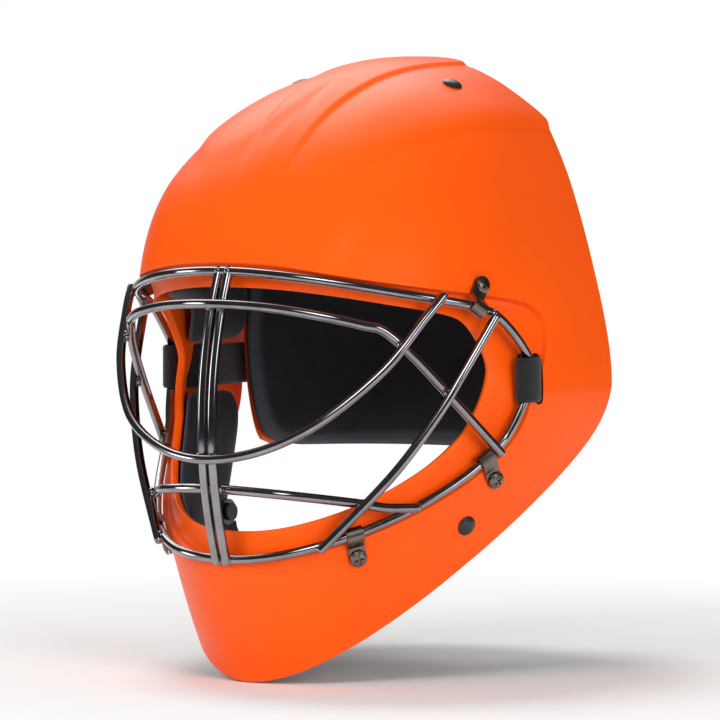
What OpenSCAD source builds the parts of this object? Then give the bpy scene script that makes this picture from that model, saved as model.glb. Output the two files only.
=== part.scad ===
// Field hockey goalkeeper helmet: a moulded shell with a sliding back plate,
// a welded wire face cage, a foam liner, an elastic harness and a chin cup.
// The wearer faces -Y, +X is the wearer's left and +Z is up.
// The origin is the middle of the head space.

/* [Shell] */
// Half width of the shell at ear level
half_w = 117; // [115:0.5:119]
// Plane of the rear rim, behind the middle of the head
rim_y = 66; // [62:1:70]
// Height of the crown above the widest level
crown_rise = 149; // [144:0.5:152]
// Wall thickness of the shell
wall = 4; // [3:0.5:5]
// Depth of the step from the shell down to the flange
step_depth = 4; // [3:0.5:5]

/* [Face opening] */
// Half width of the opening
opening_w = 94.5; // [90:0.5:96]
// Height of the opening above its middle level
opening_up = 41; // [38:0.5:43]
// Depth of the opening below its middle level
opening_down = 77; // [74:0.5:79]

/* [Cage] */
// Radius of the cage wire
wire_r = 2.3; // [2.2:0.05:2.4]
// Half width of the closed ring
ring_w = 109; // [108:0.5:109]
// Width of a wire clip
clip_w = 8.5; // [7:0.5:10]

/* [Liner] */
// Foam thickness at the forehead
forehead_foam = 15; // [10:1:18]
// Foam thickness at the temples
temple_foam = 22; // [16:1:24]
// Foam thickness at the jaw
jaw_foam = 13; // [10:1:15]
// Foam thickness at the crown
crown_foam = 13; // [9:1:16]

/* [Back plate] */
// Half width of the back plate
plate_w = 100; // [96:0.5:101]
// Rearmost face of the back plate, behind the middle of the head
plate_back_y = 126; // [120:1:132]
// Lower edge of the back plate, below the middle of the head
plate_low = 42.5; // [40:0.5:46]
// Wall thickness of the back plate
plate_wall = 3.5; // [3:0.5:4]
// Foam thickness on the back plate
back_foam = 12; // [8:1:14]

/* [Straps] */
// Width of the harness webbing
harness_w = 22; // [20:1:24]
// Thickness of all webbing
web_t = 1.6; // [1.4:0.1:1.8]
// Width of the chin straps
chin_strap_w = 15; // [12:1:18]

/* [Hidden] */

// Middle from which the shell is measured by angle
mid = [0, 0, 5];
// Crown profile on the centre line, a superellipse about this point
widest_y = 60;
widest_z = 10;
front_len = 171;
chin_drop = 255;
profile_power = 2.33;
// Side outline, seen from behind: an upright and two leaning lines that meet softly
knee_w = 97.5;
knee_z = 82;
lean_low = 0.25;
lean_high = 0.43;
// Jaw, drawn in below this level
jaw_z = -5;
jaw_in = 37;
jaw_h = 125;
// Centre band and the flat facets beside it, from the brow to the rim
front_y = -105;
band_front = 9;
band_rear = 26;
facet_front = 0.16;
facet_rear = 0.48;
facet_curve = 0.0022;
band_radius = 260;
crease_front = 9;
crease_rear = 1.6;
// Lower edge of the shell in side view: a line through this offset
jaw_slope = 40;
jaw_offset = 58.5;
corner_soft = 8;
// Stepped lip outside the ring
lip_w = 111;
lip_up = 53;
lip_down = 92.5;
top_sag = 0.0016;
side_sag = 0.0052;
outline_corner = 3;
// Ring outline in front view and its set-back in plan
ring_up = 49.3;
ring_down = 90.5;
ring_y = 1;
ring_depth = 109;
ring_front = -104.4;
opening_y = -16;
opening_depth = 82;
// Back plate
plate_mid = [0, 52, 20];
plate_up = 128;
plate_down = 138;
plate_power = 2.1;
plate_front_y = 47;
// Numbers of steps round and along the shell
turns = 88;
rows = 16;

// Webbing, studs and clips
strap_z = 0.5;
stud_r = 5;
shank_r = 2.2;
crown_stud_xy = [47, 23.5];
jaw_stud_yz = [-23.5, -70.5];
head_r = 4.4;
screw_r = 2;
clip_t = 1.4;
// Height of a clip's middle plane above the shell at its screw
clip_seat = 0.9;
eyelet_x = 58;
// Gap between the shell and the foam on it
pad_gap = 0.5;
plate_pad_gap = 2.2;
plate_pad_wrap = 7;
// Radial play of a shank in a hole
hole_play = 0.1;
// Chin cup: half sizes and its drop below the jaw studs
cup_half_x = 32;
cup_half_y = 19;
cup_drop = 52;
// Centre bars
centre_bar_x = 2.9;
centre_bar_y = -105;
centre_bar_bow = 13;
centre_bar_lean = 1.3;
// Each clip: angle on the ring, then angle and tilt of its screw
temple_clip = [17.5, 23.5, 76];
side_clip = [-23.75, -28.5, 82.5];
chin_clip = [-52.7, -57.5, 55.5];

// Cage wires, half of each, as points on the wire's centre line
loop_points = [[94.5, -54.3, 43], [90.2, -64.1, 31.9], [79.1, -83.4, 7.4], [56.9, -105, -17.2],
    [30.1, -116.4, -31.2], [0, -121.9, -35.9]];
brow_points = [[103.4, -17.3, -34.7], [92.6, -47.4, -5], [84.1, -67.2, 15.1], [76.3, -78.8, 26.4],
    [70.3, -86, 29],
    [55.8, -97.8, 33.2], [30.3, -108.2, 37.4], [0, -114.1, 38.8]];
lower_points = [[81.3, -56.5, -59.8], [70.5, -68.7, -59.6], [59.7, -79.2, -57.1], [34, -105.4, -52.5],
    [0, -110.7, -51]];
diagonal_points = [[106.9, -27.6, 32.1], [99, -45.3, 4.1], [91.5, -56.2, -15.9], [76, -71.5, -44.2],
    [48.9, -92.3, -79.5]];

function ones(v) = [for (a = v) 1];
function soft_max(v, k) = let (m = max(v)) m + k * ln([for (a = v) exp((a - m) / k)] * ones(v));
function soft_min(v, k) = -soft_max([for (a = v) -a], k);
function ramp(a, a0, a1) = min(1, max(0, (a - a0) / (a1 - a0)));
function mix(a, b, f) = a + (b - a) * f;
function unit(v) = v / norm(v);
function flip(p) = [-p[0], p[1], p[2]];

// Half width of the shell at height z
function side_w(z) =
    soft_min([half_w, knee_w + lean_low * (knee_z - z), knee_w + lean_high * (knee_z - z)], 3)
    - jaw_in * pow(max(0, jaw_z - z) / jaw_h, 1.2);

// Distance from the widest plane to the front at height z
function front_reach(z) =
    let (b = z > widest_z ? crown_rise : chin_drop, u = min(0.9999, abs(z - widest_z) / b))
    front_len * pow(1 - pow(u, profile_power), 1 / profile_power);

// Height of the crown's centre line at y
function crown(y) =
    let (u = min(0.9999, max(0, widest_y - y) / front_len))
    widest_z + crown_rise * pow(1 - pow(u, profile_power), 1 / profile_power);

// Roundness of the plan section: fuller towards the crown
function section_power(z) = 2 + 0.3 * ramp(z, -90, 30) + 0.6 * ramp(z, 30, 95);

// The shell's outer form: negative inside, about the distance in mm
function form(p) =
    let (
        x = abs(p[0]),
        f = ramp(p[1], front_y, rim_y),
        a = side_w(p[2]),
        n = section_power(p[2]),
        back = min(5, max(0, widest_y - p[1]) / front_reach(p[2])),
        side = (pow(pow(x / a, n) + pow(back, n), 1 / n) - 1) * a,
        over = p[2] - crown(p[1]),
        top = over + x * x / (2 * band_radius),
        b = mix(band_front, band_rear, f),
        k = mix(facet_front, facet_rear, f),
        slant = k * (x - b) + facet_curve * pow(max(0, x - b), 2) + b * b / (2 * band_radius),
        facet = (over + slant) / sqrt(1 + k * k)
    )
    soft_max([side, top, facet], mix(crease_front, crease_rear, f));

function normal(p) =
    let (e = 0.5, f0 = form(p))
    unit([form(p + [e, 0, 0]) - f0, form(p + [0, e, 0]) - f0, form(p + [0, 0, e]) - f0]);

// A point by its angle round the face, t, and its angle from the front, tilt
function ray(t, tilt) = [cos(t) * sin(tilt), -cos(tilt), sin(t) * sin(tilt)];
function reach(from, d, lo = 40, hi = 210, n = 15) =
    n == 0 ? (lo + hi) / 2
    : let (m = (lo + hi) / 2) form(from + m * d) < 0
        ? reach(from, d, m, hi, n - 1)
        : reach(from, d, lo, m, n - 1);
function on_shell(t, tilt) = let (d = ray(t, tilt)) mid + reach(mid, d) * d;

// Outline in front view: a shallow arch on two sides above, a superellipse below
function arch_r(t, w, up) =
    let (c = abs(cos(t)), s = sin(t))
    soft_min([
        2 * up / (s + sqrt(s * s + 4 * top_sag * c * c * up)),
        2 * w / (c + sqrt(c * c + 4 * side_sag * s * s * w))
    ], outline_corner);
function outline_r(t, w, up, down) =
    sin(t) > 0 ? arch_r(t, w, up) : pow(pow(abs(cos(t)) / w, 2.1) + pow(abs(sin(t)) / down, 2.1), -1 / 2.1);

// Its set-back in plan, from y0 at the sides to y0 - depth in the middle
function set_back(x, t, w, y0, depth) =
    let (f = ramp(sin(t), -0.3, 0.3), u = min(1, abs(x) / w))
    y0 - depth * pow(1 - pow(u, mix(2.15, 1.85, f)), 1 / mix(1, 1.85, f));

// The ring is a little flatter in the middle, where the centre bars cross in front of it
function ring_at(t) =
    let (r = outline_r(t, ring_w, ring_up, ring_down), x = r * cos(t))
    [x, soft_max([set_back(x, t, ring_w, ring_y, ring_depth), ring_front], 2), mid[2] + r * sin(t)];

function opening_at(t) =
    let (r = outline_r(t, opening_w, opening_up, opening_down), x = r * cos(t))
    [x, set_back(x, t, opening_w, opening_y, opening_depth), mid[2] + r * sin(t)];

// Positive outside the lip, and positive behind the rim or below the jaw line
function past_lip(p) =
    let (t = atan2(p[2] - mid[2], p[0]))
    norm([p[0], p[2] - mid[2]]) - outline_r(t, lip_w, lip_up, lip_down);
function past_edge(p) =
    soft_max([p[1] - rim_y, sin(jaw_slope) * p[1] - cos(jaw_slope) * p[2] - jaw_offset], corner_soft);
function lip_tilt(t, lo = 20, hi = 100, n = 13) =
    n == 0 ? (lo + hi) / 2
    : let (m = (lo + hi) / 2) past_lip(on_shell(t, m)) < 0
        ? lip_tilt(t, m, hi, n - 1)
        : lip_tilt(t, lo, m, n - 1);
function edge_tilt(t, lo = 40, hi = 130, n = 13) =
    n == 0 ? (lo + hi) / 2
    : let (m = (lo + hi) / 2) past_edge(on_shell(t, m)) < 0
        ? edge_tilt(t, m, hi, n - 1)
        : edge_tilt(t, lo, m, n - 1);

// Points of the shell's outer face on one line from the lip, s = 0, to the edge, s = 1
function shell_line(t, steps) =
    let (a = lip_tilt(t), b = edge_tilt(t))
    [for (s = steps) on_shell(t, mix(a, b, s))];
function inset(points, depth) = [for (p = points) p - depth * normal(p)];

// A smooth curve through points, with n pieces to a span
function spline(p, n) = [
    for (i = [0 : len(p) - 2])
        for (j = [0 : n - 1])
            let (
                u = j / n,
                a = p[max(0, i - 1)], b = p[i], c = p[i + 1], d = p[min(len(p) - 1, i + 2)]
            )
            0.5 * (2 * b + (c - a) * u + (2 * a - 5 * b + 4 * c - d) * u * u
                + (3 * b - a - 3 * c + d) * u * u * u),
    p[len(p) - 1]
];
// The same points followed by their mirror images
function both_sides(p) = concat(p, [for (i = [len(p) - 2 : -1 : 0]) flip(p[i])]);

// Faces of a grid of rows by columns; closed grids wrap round
function grid_faces(n_rows, n_cols, wrap_rows, wrap_cols) = [
    for (i = [0 : n_rows - (wrap_rows ? 1 : 2)])
        for (j = [0 : n_cols - (wrap_cols ? 1 : 2)])
            let (
                i2 = (i + 1) % n_rows, j2 = (j + 1) % n_cols,
                a = i * n_cols + j, b = i2 * n_cols + j, c = i2 * n_cols + j2, d = i * n_cols + j2
            )
            each [[a, b, c], [a, c, d]]
];

// A ring of equal sections joined end to end
module loft_loop(sections) {
    m = len(sections[0]);
    polyhedron([for (s = sections) each s], grid_faces(len(sections), m, true, true));
}

// A row of equal closed sections with flat ends
module loft(sections) {
    n = len(sections);
    m = len(sections[0]);
    polyhedron(
        [for (s = sections) each s],
        concat(
            grid_faces(n, m, false, true),
            [[for (j = [0 : m - 1]) j]],
            [[for (j = [m - 1 : -1 : 0]) (n - 1) * m + j]]
        )
    );
}

// Section of a tube or a strap at each point of a path, held square to it
function path_dir(path, i, closed) =
    let (n = len(path))
    unit(path[closed ? (i + 1) % n : min(n - 1, i + 1)] - path[closed ? (i + n - 1) % n : max(0, i - 1)]);
function tube_sections(path, r, sides, closed) = [
    for (i = [0 : len(path) - 1])
        let (
            d = path_dir(path, i, closed),
            u = unit(cross(d, [0, 1, 0])),
            v = cross(d, u)
        )
        [for (k = [0 : sides - 1]) path[i] + r * (cos(360 * k / sides) * u + sin(360 * k / sides) * v)]
];
function strap_sections(path, ups, w, t) = [
    for (i = [0 : len(path) - 1])
        let (
            d = path_dir(path, i, false),
            u = unit(ups[i] - (ups[i] * d) * d),
            v = cross(d, u)
        )
        [for (c = [[-1, -1], [1, -1], [1, 1], [-1, 1]]) path[i] + c[0] * w / 2 * u + c[1] * t / 2 * v]
];

module wire(points, span) {
    color("#3a3a3f") loft(tube_sections(spline(points, span), wire_r, 8, false));
}

// Turns +Z to direction d and +X as near as can be to direction x
module aim(p, d, x = [1, 0, 0]) {
    z = unit(d);
    y = unit(cross(z, x));
    a = cross(y, z);
    multmatrix([
        [a[0], y[0], z[0], p[0]],
        [a[1], y[1], z[1], p[1]],
        [a[2], y[2], z[2], p[2]],
        [0, 0, 0, 1]
    ]) children();
}

module both(make_left = true, make_right = true) {
    if (make_left) children();
    if (make_right) mirror([1, 0, 0]) children();
}

// One section of the shell: flange, step, outer face, edge, inner face
function shell_section(t, open_p, flange_n) =
    let (
        outer = shell_line(t, [for (j = [0 : rows]) pow(j / rows, 1.15)]),
        lip_n = normal(outer[0]),
        corner = outer[0] - step_depth * lip_n + 1.2 * unit(open_p - outer[0]),
        inner = inset([for (j = [1 : 2 : rows]) outer[j]], wall),
        last = outer[rows] - wall * normal(outer[rows])
    )
    concat(
        [open_p, mix(open_p, corner, 0.5), corner],
        outer,
        [last],
        [for (j = [len(inner) - 1 : -1 : 0]) inner[j]],
        [corner - wall * flange_n, mix(open_p, corner, 0.5) - wall * flange_n, open_p - wall * flange_n]
    );

module shell_body() {
    angles = [for (i = [0 : turns - 1]) 360 * i / turns];
    sections = [
        for (t = angles)
            let (
                a = opening_at(t - 2), b = opening_at(t + 2), o = opening_at(t),
                lean = unit(cross(b - a, unit(ring_at(t) - o + [0, 5, 0]))),
                n = lean[1] > 0 ? -lean : lean
            )
            shell_section(t, o, n)
    ];
    loft_loop(sections);
}

// Slots for the harness: one through the flange, one through the step
module harness_slots() {
    translate([103.4, 0.3, strap_z]) rotate([0, 0, -56]) cube([26, 4.2, harness_w + 3], center = true);
    translate([108.2, 7.3, strap_z]) rotate([0, 0, -40]) cube([20, 4.2, harness_w + 3], center = true);
}

module shell() {
    color("#ff5a00") difference() {
        shell_body();
        both() harness_slots();
        at_clips() translate([0, 0, -8]) cylinder(h = 16, r = screw_r + hole_play, $fn = 24);
        both() {
            aim(crown_seat(), normal(crown_seat())) translate([0, 0, -8])
                cylinder(h = 16, r = shank_r + hole_play, $fn = 24);
            translate(jaw_seat() - [10, 0, 0]) rotate([0, 90, 0])
                cylinder(h = 16, r = shank_r + hole_play, $fn = 24);
        }
    }
}

// A closed solid of rings, from a pole on its outer face to one on its inner face.
// Both faces split their quads the same way, so that layers lie flat on each other.
module cap(pole_out, rings, pole_in) {
    m = len(rings[0]);
    n = len(rings);
    points = concat([pole_out], [for (r = rings) each r], [pole_in]);
    polyhedron(points, concat(
        [for (j = [0 : m - 1]) [0, 1 + (j + 1) % m, 1 + j]],
        [
            for (i = [0 : n - 2])
                for (j = [0 : m - 1])
                    let (
                        a = 1 + i * m + j, b = 1 + i * m + (j + 1) % m,
                        c = 1 + (i + 1) * m + (j + 1) % m, d = 1 + (i + 1) * m + j
                    )
                    each i < n / 2 ? [[a, b, c], [a, c, d]] : [[a, b, d], [b, c, d]]
        ],
        [for (j = [0 : m - 1]) [n * m + 1, 1 + (n - 1) * m + j, 1 + (n - 1) * m + (j + 1) % m]]
    ));
}

// The value at u of the parabola through three even values
function through3(v, u) = v[0] * (1 - u) * (1 - 2 * u) + v[1] * 4 * u * (1 - u) + v[2] * u * (2 * u - 1);
// Place in a rounded square, from its middle, r = 0, to its edge, r = 1
function in_square(r, a, power) =
    let (k = r / pow(pow(abs(cos(a)), power) + pow(abs(sin(a)), power), 1 / power))
    [0.5 + 0.5 * k * cos(a), 0.5 + 0.5 * k * sin(a)];

// A foam pad between angles t0 and t1. It starts a margin behind the lip, in degrees, and
// ends at a line of tilt given by three values. Its foam thins to a bevel at the edge.
// Its inner face starts further forward behind the flange, by the three degrees of lean.
module foam_pad(t0, t1, low, high, thick, gap = pad_gap, tuck = 0, lean = [0, 0, 0]) {
    steps = 28;
    radii = [0.4, 0.75, 0.94, 1];
    angles = [for (i = [0 : steps - 1]) 360 * i / steps];
    function spot(r, a) =
        let (
            q = in_square(r, a, 5),
            t = mix(t0, t1, q[0]),
            front = is_list(low) ? through3(low, q[0]) : lip_tilt(t) + low,
            back = through3(high, q[0]),
            p = on_shell(t, mix(front, back, q[1])),
            inner = on_shell(t, mix(front - through3(lean, q[0]), back, q[1])),
            depth = wall + gap + tuck * pow(1 - q[1], 4),
            foam = mix(thick[0], thick[1], q[0]) * (0.5 + 0.5 * (1 - pow(r, 5)))
        )
        [p - depth * normal(p), inner - (depth + foam) * normal(inner)];
    spots = [for (r = radii) [for (a = angles) spot(r, a)]];
    centre = spot(0, 0);
    color("#26272c") cap(
        centre[0],
        concat(
            [for (ring = spots) [for (q = ring) q[0]]],
            [for (i = [len(radii) - 1 : -1 : 0]) [for (q = spots[i]) q[1]]]
        ),
        centre[1]
    );
}

// Blind recesses in the outer face of a pad over the clip nuts
module nut_recesses() {
    at_clips() translate([0, 0, -wall - 9]) cylinder(h = 10, r = 7.2, $fn = 20);
}

module forehead_pad() {
    foam_pad(148, 32, 5.5, [80, 64, 80], [forehead_foam, forehead_foam], tuck = 5);
}

module crown_pad() {
    foam_pad(143, 37, [84, 67, 84], [107, 103, 107], [crown_foam, crown_foam], gap = 5.6);
}

module temple_pad_left() {
    difference() {
        foam_pad(30, 5.5, 9.4, [105.5, 108, 108], [temple_foam, temple_foam],
            lean = [15, 22, 23.5]);
        nut_recesses();
    }
}

module temple_pad_right() {
    mirror([1, 0, 0]) temple_pad_left();
}

module cheek_pad_left() {
    difference() {
        foam_pad(-10.2, -61, 6.5, [109.5, 95, 69], [temple_foam, jaw_foam],
            lean = [15, 13.5, 9.5]);
        nut_recesses();
        translate([40, jaw_stud_yz[0], jaw_stud_yz[1]]) rotate([0, 90, 0])
            cylinder(h = 60, r = shank_r + 0.4, $fn = 20);
    }
}

module cheek_pad_right() {
    mirror([1, 0, 0]) cheek_pad_left();
}

module chin_guard_pad() {
    foam_pad(-64, -116, 4.5, [68, 57.5, 68], [10, 10]);
}

// The back plate's form: a superellipsoid, raised or sunk by lift
function plate_r(d, lift) =
    let (
        a = plate_w + lift,
        b = plate_back_y - plate_mid[1] + lift,
        c = (d[2] > 0 ? plate_up : plate_down) + lift
    )
    pow(pow(abs(d[0]) / a, plate_power) + pow(abs(d[1]) / b, plate_power) + pow(abs(d[2]) / c, plate_power),
        -1 / plate_power);
function plate_ray(t, tilt) = [cos(t) * sin(tilt), cos(tilt), sin(t) * sin(tilt)];
function plate_at(t, tilt, lift = 0) = let (d = plate_ray(t, tilt)) plate_mid + plate_r(d, lift) * d;
// Angle from the rear at which a layer of the plate meets its front or lower edge: a lift, the
// place of the two edges, and how far their corner is rounded
function plate_tilt(t, edges, lo = 20, hi = 100, n = 14) =
    n == 0 ? (lo + hi) / 2
    : let (
        m = (lo + hi) / 2,
        p = plate_at(t, m, edges[0]),
        over = soft_max([edges[1] - p[1], edges[2] - p[2]], edges[3])
    )
    over < 0 ? plate_tilt(t, edges, m, hi, n - 1) : plate_tilt(t, edges, lo, m, n - 1);

// A layer between two lifts of the back plate
module plate_layer(edges, outer, inner, bevel) {
    steps = 48;
    angles = [for (i = [0 : steps - 1]) -360 * i / steps];
    ends = [for (t = angles) plate_tilt(t, edges)];
    radii = [0.15, 0.32, 0.5, 0.68, 0.84, 0.95, 1];
    cap(
        plate_at(0, 0, outer),
        concat(
            [for (r = radii) [for (i = [0 : steps - 1]) plate_at(angles[i], r * ends[i], outer)]],
            [for (k = [len(radii) - 1 : -1 : 0]) let (r = radii[k])
                [for (i = [0 : steps - 1]) plate_at(angles[i], r * ends[i], inner + bevel * pow(r, 8))]]
        ),
        plate_at(0, 0, inner)
    );
}

module back_plate() {
    color("#ff5a00") difference() {
        plate_layer([0, plate_front_y, -plate_low, 4], 0, -plate_wall, 0);
        at_rivets() translate([0, 0, -8]) cylinder(h = 16, r = 2 + hole_play, $fn = 24);
    }
}

module back_pad() {
    outer = -plate_wall - plate_pad_gap;
    edges = [outer, plate_front_y - plate_pad_wrap, -plate_low - 1.1, 10];
    color("#26272c") plate_layer(edges, outer, -plate_wall - back_foam, 6);
}

module cage_ring() {
    path = [for (i = [0 : 79]) ring_at(360 * i / 80)];
    color("#3a3a3f") loft_loop(tube_sections(path, wire_r, 8, true));
}

module cage_loop_bar() {
    wire(both_sides(loop_points), 5);
}

module cage_brow_bar() {
    wire(both_sides(brow_points), 4);
}

module cage_lower_bar() {
    wire(both_sides(lower_points), 4);
}

// The two centre bars bow forwards between the top and the bottom of the ring
module cage_centre_bar_left() {
    n = 14;
    half = (ring_up + ring_down) / 2 + 1;
    top = mid[2] + ring_up + 1;
    points = [
        for (i = [0 : n])
            let (u = 2 * i / n - 1)
            [
                centre_bar_x,
                centre_bar_y - centre_bar_bow * (1 - u * u) - centre_bar_lean * u,
                top - half * (1 + u)
            ]
    ];
    color("#3a3a3f") loft(tube_sections(points, wire_r, 8, false));
}

module cage_centre_bar_right() {
    mirror([1, 0, 0]) cage_centre_bar_left();
}

module cage_diagonal_left() {
    wire(diagonal_points, 5);
}

module cage_diagonal_right() {
    mirror([1, 0, 0]) cage_diagonal_left();
}

// Outline of a bent strip in its own plane: a path thickened by t
function strip_outline(path, t) =
    let (n = len(path), d = [for (i = [0 : n - 1]) path_dir(path, i, false)])
    concat(
        [for (i = [0 : n - 1]) path[i] + t / 2 * [d[i][1], -d[i][0]]],
        [for (i = [n - 1 : -1 : 0]) path[i] - t / 2 * [d[i][1], -d[i][0]]]
    );

// A strip clip: its tab lies on the shell under a screw, then it hooks over the ring.
// Its own axes are X along the strip towards the ring, and Z out of the shell.
module clip(spot) {
    seat = on_shell(spot[1], spot[2]);
    n = normal(seat);
    v = ring_at(spot[0]) - seat;
    e = unit(v - (v * n) * n);
    d = v * e;
    h = v * n - clip_seat;
    hook = wire_r + clip_t / 2 + 0.3;
    path = concat(
        [[3, 0], [6, 0]],
        [for (a = [120 : -20 : -60]) [d + hook * cos(a), h + hook * sin(a)]]
    );
    color("#4a4038") aim(seat + clip_seat * n, n, e) {
        difference() {
            translate([0, 0, -clip_t / 2]) linear_extrude(height = clip_t) polygon(concat(
                [for (a = [90 : 15 : 270]) clip_w / 2 * [cos(a), sin(a)]],
                [[6, -clip_w / 2], [6, clip_w / 2]]
            ));
            translate([0, 0, -3]) cylinder(h = 6, r = screw_r + 0.2, $fn = 32);
        }
        translate([0, clip_w / 2 - 0.1, 0]) rotate([90, 0, 0]) linear_extrude(height = clip_w - 0.2)
            polygon(strip_outline(path, clip_t - 0.1));
    }
}

module temple_clips() {
    both() clip(temple_clip);
}

module side_clips() {
    both() clip(side_clip);
}

module chin_clips() {
    both() clip(chin_clip);
}

// Pan head with a cross recess, and a shank down to the nut
module screw() {
    difference() {
        union() {
            rotate_extrude($fn = 24) polygon(concat(
                [[0, 0]],
                [for (a = [0 : 22.5 : 90]) [head_r * cos(a), 0.5 + 2 * sin(a)]],
                [[0, 2.5]]
            ));
            translate([0, 0, -10]) cylinder(h = 10.5, r = screw_r, $fn = 16);
        }
        for (a = [0, 90]) rotate([0, 0, a]) translate([-2.4, -0.5, 1.3]) cube([4.8, 1, 2]);
    }
}

module at_clips() {
    both() for (c = [temple_clip, side_clip, chin_clip]) {
        p = on_shell(c[1], c[2]);
        aim(p, normal(p)) children();
    }
}

module clip_screws() {
    color("#5a4a3c") at_clips() translate([0, 0, clip_seat + clip_t / 2]) screw();
}

module clip_nuts() {
    color("#8a8d92") at_clips() difference() {
        union() {
            translate([0, 0, -wall - 1.5]) cylinder(h = 0.9, r = 4.4, $fn = 24);
            translate([0, 0, -wall - 4.2]) cylinder(h = 2.8, r = 3.1, $fn = 20);
        }
        translate([0, 0, -wall - 6]) cylinder(h = 6, r = screw_r + 0.05, $fn = 16);
    }
}

// A domed stud head on the shell, its shank and the washer cap inside
module stud_head() {
    rotate_extrude($fn = 28) polygon(concat(
        [[0, 0]],
        [for (a = [0 : 18 : 90]) [stud_r * cos(a), 0.3 + 1.9 * sin(a)]],
        [[0, 2.2]]
    ));
}

function crown_seat() =
    let (o = [crown_stud_xy[0], crown_stud_xy[1], 0])
    o + reach(o, [0, 0, 1]) * [0, 0, 1];

module crown_studs() {
    p = crown_seat();
    color("#1c1c1e") both() aim(p, normal(p)) {
        stud_head();
        translate([0, 0, -wall - 4.2]) cylinder(h = wall + 5, r = shank_r, $fn = 20);
        translate([0, 0, -wall - 4.8]) cylinder(h = 0.9, r = 4.4, $fn = 24);
    }
}

// The jaw studs carry the chin straps on a level shank inside the helmet
function jaw_seat() =
    let (o = [0, jaw_stud_yz[0], jaw_stud_yz[1]])
    o + reach(o, [1, 0, 0]) * [1, 0, 0];

module jaw_studs() {
    p = jaw_seat();
    color("#1c1c1e") both() {
        aim(p, normal(p)) stud_head();
        translate([eyelet_x - 2.4, p[1], p[2]]) rotate([0, 90, 0])
            cylinder(h = p[0] - eyelet_x + 3.4, r = shank_r, $fn = 20);
        translate([eyelet_x - 3.4, p[1], p[2]]) rotate([0, 90, 0]) cylinder(h = 1.6, r = 4.4, $fn = 24);
    }
}

// A strap that runs level, as a strip in plan carried up its width
module level_strap(points, w, span) {
    path = spline([for (p = points) [p[0], p[1], 0]], span);
    n = len(path);
    function off(i, side) =
        let (d = path_dir(path, i, false))
        [path[i][0] - side * d[1] * web_t / 2, path[i][1] + side * d[0] * web_t / 2];
    translate([0, 0, strap_z - w / 2]) linear_extrude(height = w)
        polygon(concat([for (i = [0 : n - 1]) off(i, 1)], [for (i = [n - 1 : -1 : 0]) off(i, -1)]));
}

// The harness loop goes round the ring wire and back through the two slots
module harness_loop_left() {
    color("#1f2024") level_strap(
        [[95.4, 12], [98.6, 7.5], [101.6, 3], [104.6, -2], [104.5, -5.6], [106.9, -7.7], [110.2, -6.9],
            [111.9, -3.4], [112.6, 0.9], [111.9, 4], [109, 7.2], [104.4, 10.4], [99.6, 13]],
        harness_w, 3);
}

module harness_loop_right() {
    mirror([1, 0, 0]) harness_loop_left();
}

// Plan curve just outside the back plate at strap height, by angle from its side
function beside_plate(a, lift) = let (p = plate_at(0, 90 - a, lift)) [p[0], p[1]];

module harness_strap_left() {
    color("#1f2024") level_strap(
        [[97.5, 14.4], [98.6, 24], [100.4, 36], [101.8, 46], beside_plate(4, 1.3)],
        harness_w - 1, 4);
}

module harness_strap_right() {
    mirror([1, 0, 0]) harness_strap_left();
}

module harness_tail_left() {
    color("#1f2024") level_strap([for (a = [5 : 7 : 61]) beside_plate(a, 1.3)], harness_w - 1, 2);
}

module harness_tail_right() {
    mirror([1, 0, 0]) harness_tail_left();
}

// A ladder buckle: two windows and three bars round the strap's end
module ladder_buckle(length, width, thick) {
    difference() {
        translate([-length / 2, -width / 2, 0]) cube([length, width, thick]);
        for (x = [-length / 4, length / 4])
            translate([x - length / 8, -width / 2 + 2.5, -1]) cube([length / 4, width - 5, thick + 2]);
    }
}

module harness_buckle_left() {
    p = plate_at(0, 25, 3.8);
    q = plate_at(0, 25, 5.8);
    color("#141416") aim([p[0], p[1], strap_z], q - p, [cos(-20), sin(-20), 0])
        ladder_buckle(22, harness_w + 4, 2.6);
}

module harness_buckle_right() {
    mirror([1, 0, 0]) harness_buckle_left();
}

// The rear strap joins the two buckles across the back plate
module harness_rear_strap() {
    color("#1f2024") level_strap([for (a = [70 : 5 : 110]) beside_plate(a, 1.3)], harness_w - 1, 2);
}

// Where the crown straps meet the back plate
function crown_rivet() = plate_at(73, 86, 0);
module at_rivets() {
    both() aim(crown_rivet(), plate_at(73, 86, 4) - crown_rivet()) children();
}

module crown_strap_left() {
    s = crown_seat();
    n = normal(s);
    a = s - (wall + 1.9) * n;
    r = crown_rivet();
    m = unit(plate_at(73, 86, 4) - r);
    b = r + 1.6 * m;
    path = spline([a + [0, -5.5, -0.9], a, mix(a, b, 0.5) + [0, 0, 0.2], b, b + [0, 8, -0.2]], 3);
    last = len(path) - 1;
    color("#1f2024") difference() {
        loft(strap_sections(path, [for (i = [0 : last]) cross(mix(n, m, i / last), [0, 1, 0])], 13, web_t));
        aim(s, n) translate([0, 0, -wall - 6]) cylinder(h = 8, r = shank_r + hole_play, $fn = 24);
        aim(r, m) translate([0, 0, -3]) cylinder(h = 8, r = 2 + hole_play, $fn = 24);
    }
}

module crown_strap_right() {
    mirror([1, 0, 0]) crown_strap_left();
}

module plate_rivets() {
    color("#1c1c1e") at_rivets() {
        translate([0, 0, -plate_wall]) cylinder(h = plate_wall + 3.2, r = 2, $fn = 16);
        translate([0, 0, 2.8]) cylinder(h = 1, r = 4, $fn = 24);
    }
}

// Chin cup: a shallow bowl hanging under the jaw studs
function cup_at(r, a, lift) =
    let (q = in_square(r, a, 3), x = (q[0] - 0.5) * 2 * cup_half_x, y = (q[1] - 0.5) * 2 * cup_half_y)
    [x, jaw_stud_yz[0] + y, jaw_stud_yz[1] - cup_drop + x * x / 110 + y * y / 42 + lift];

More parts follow.
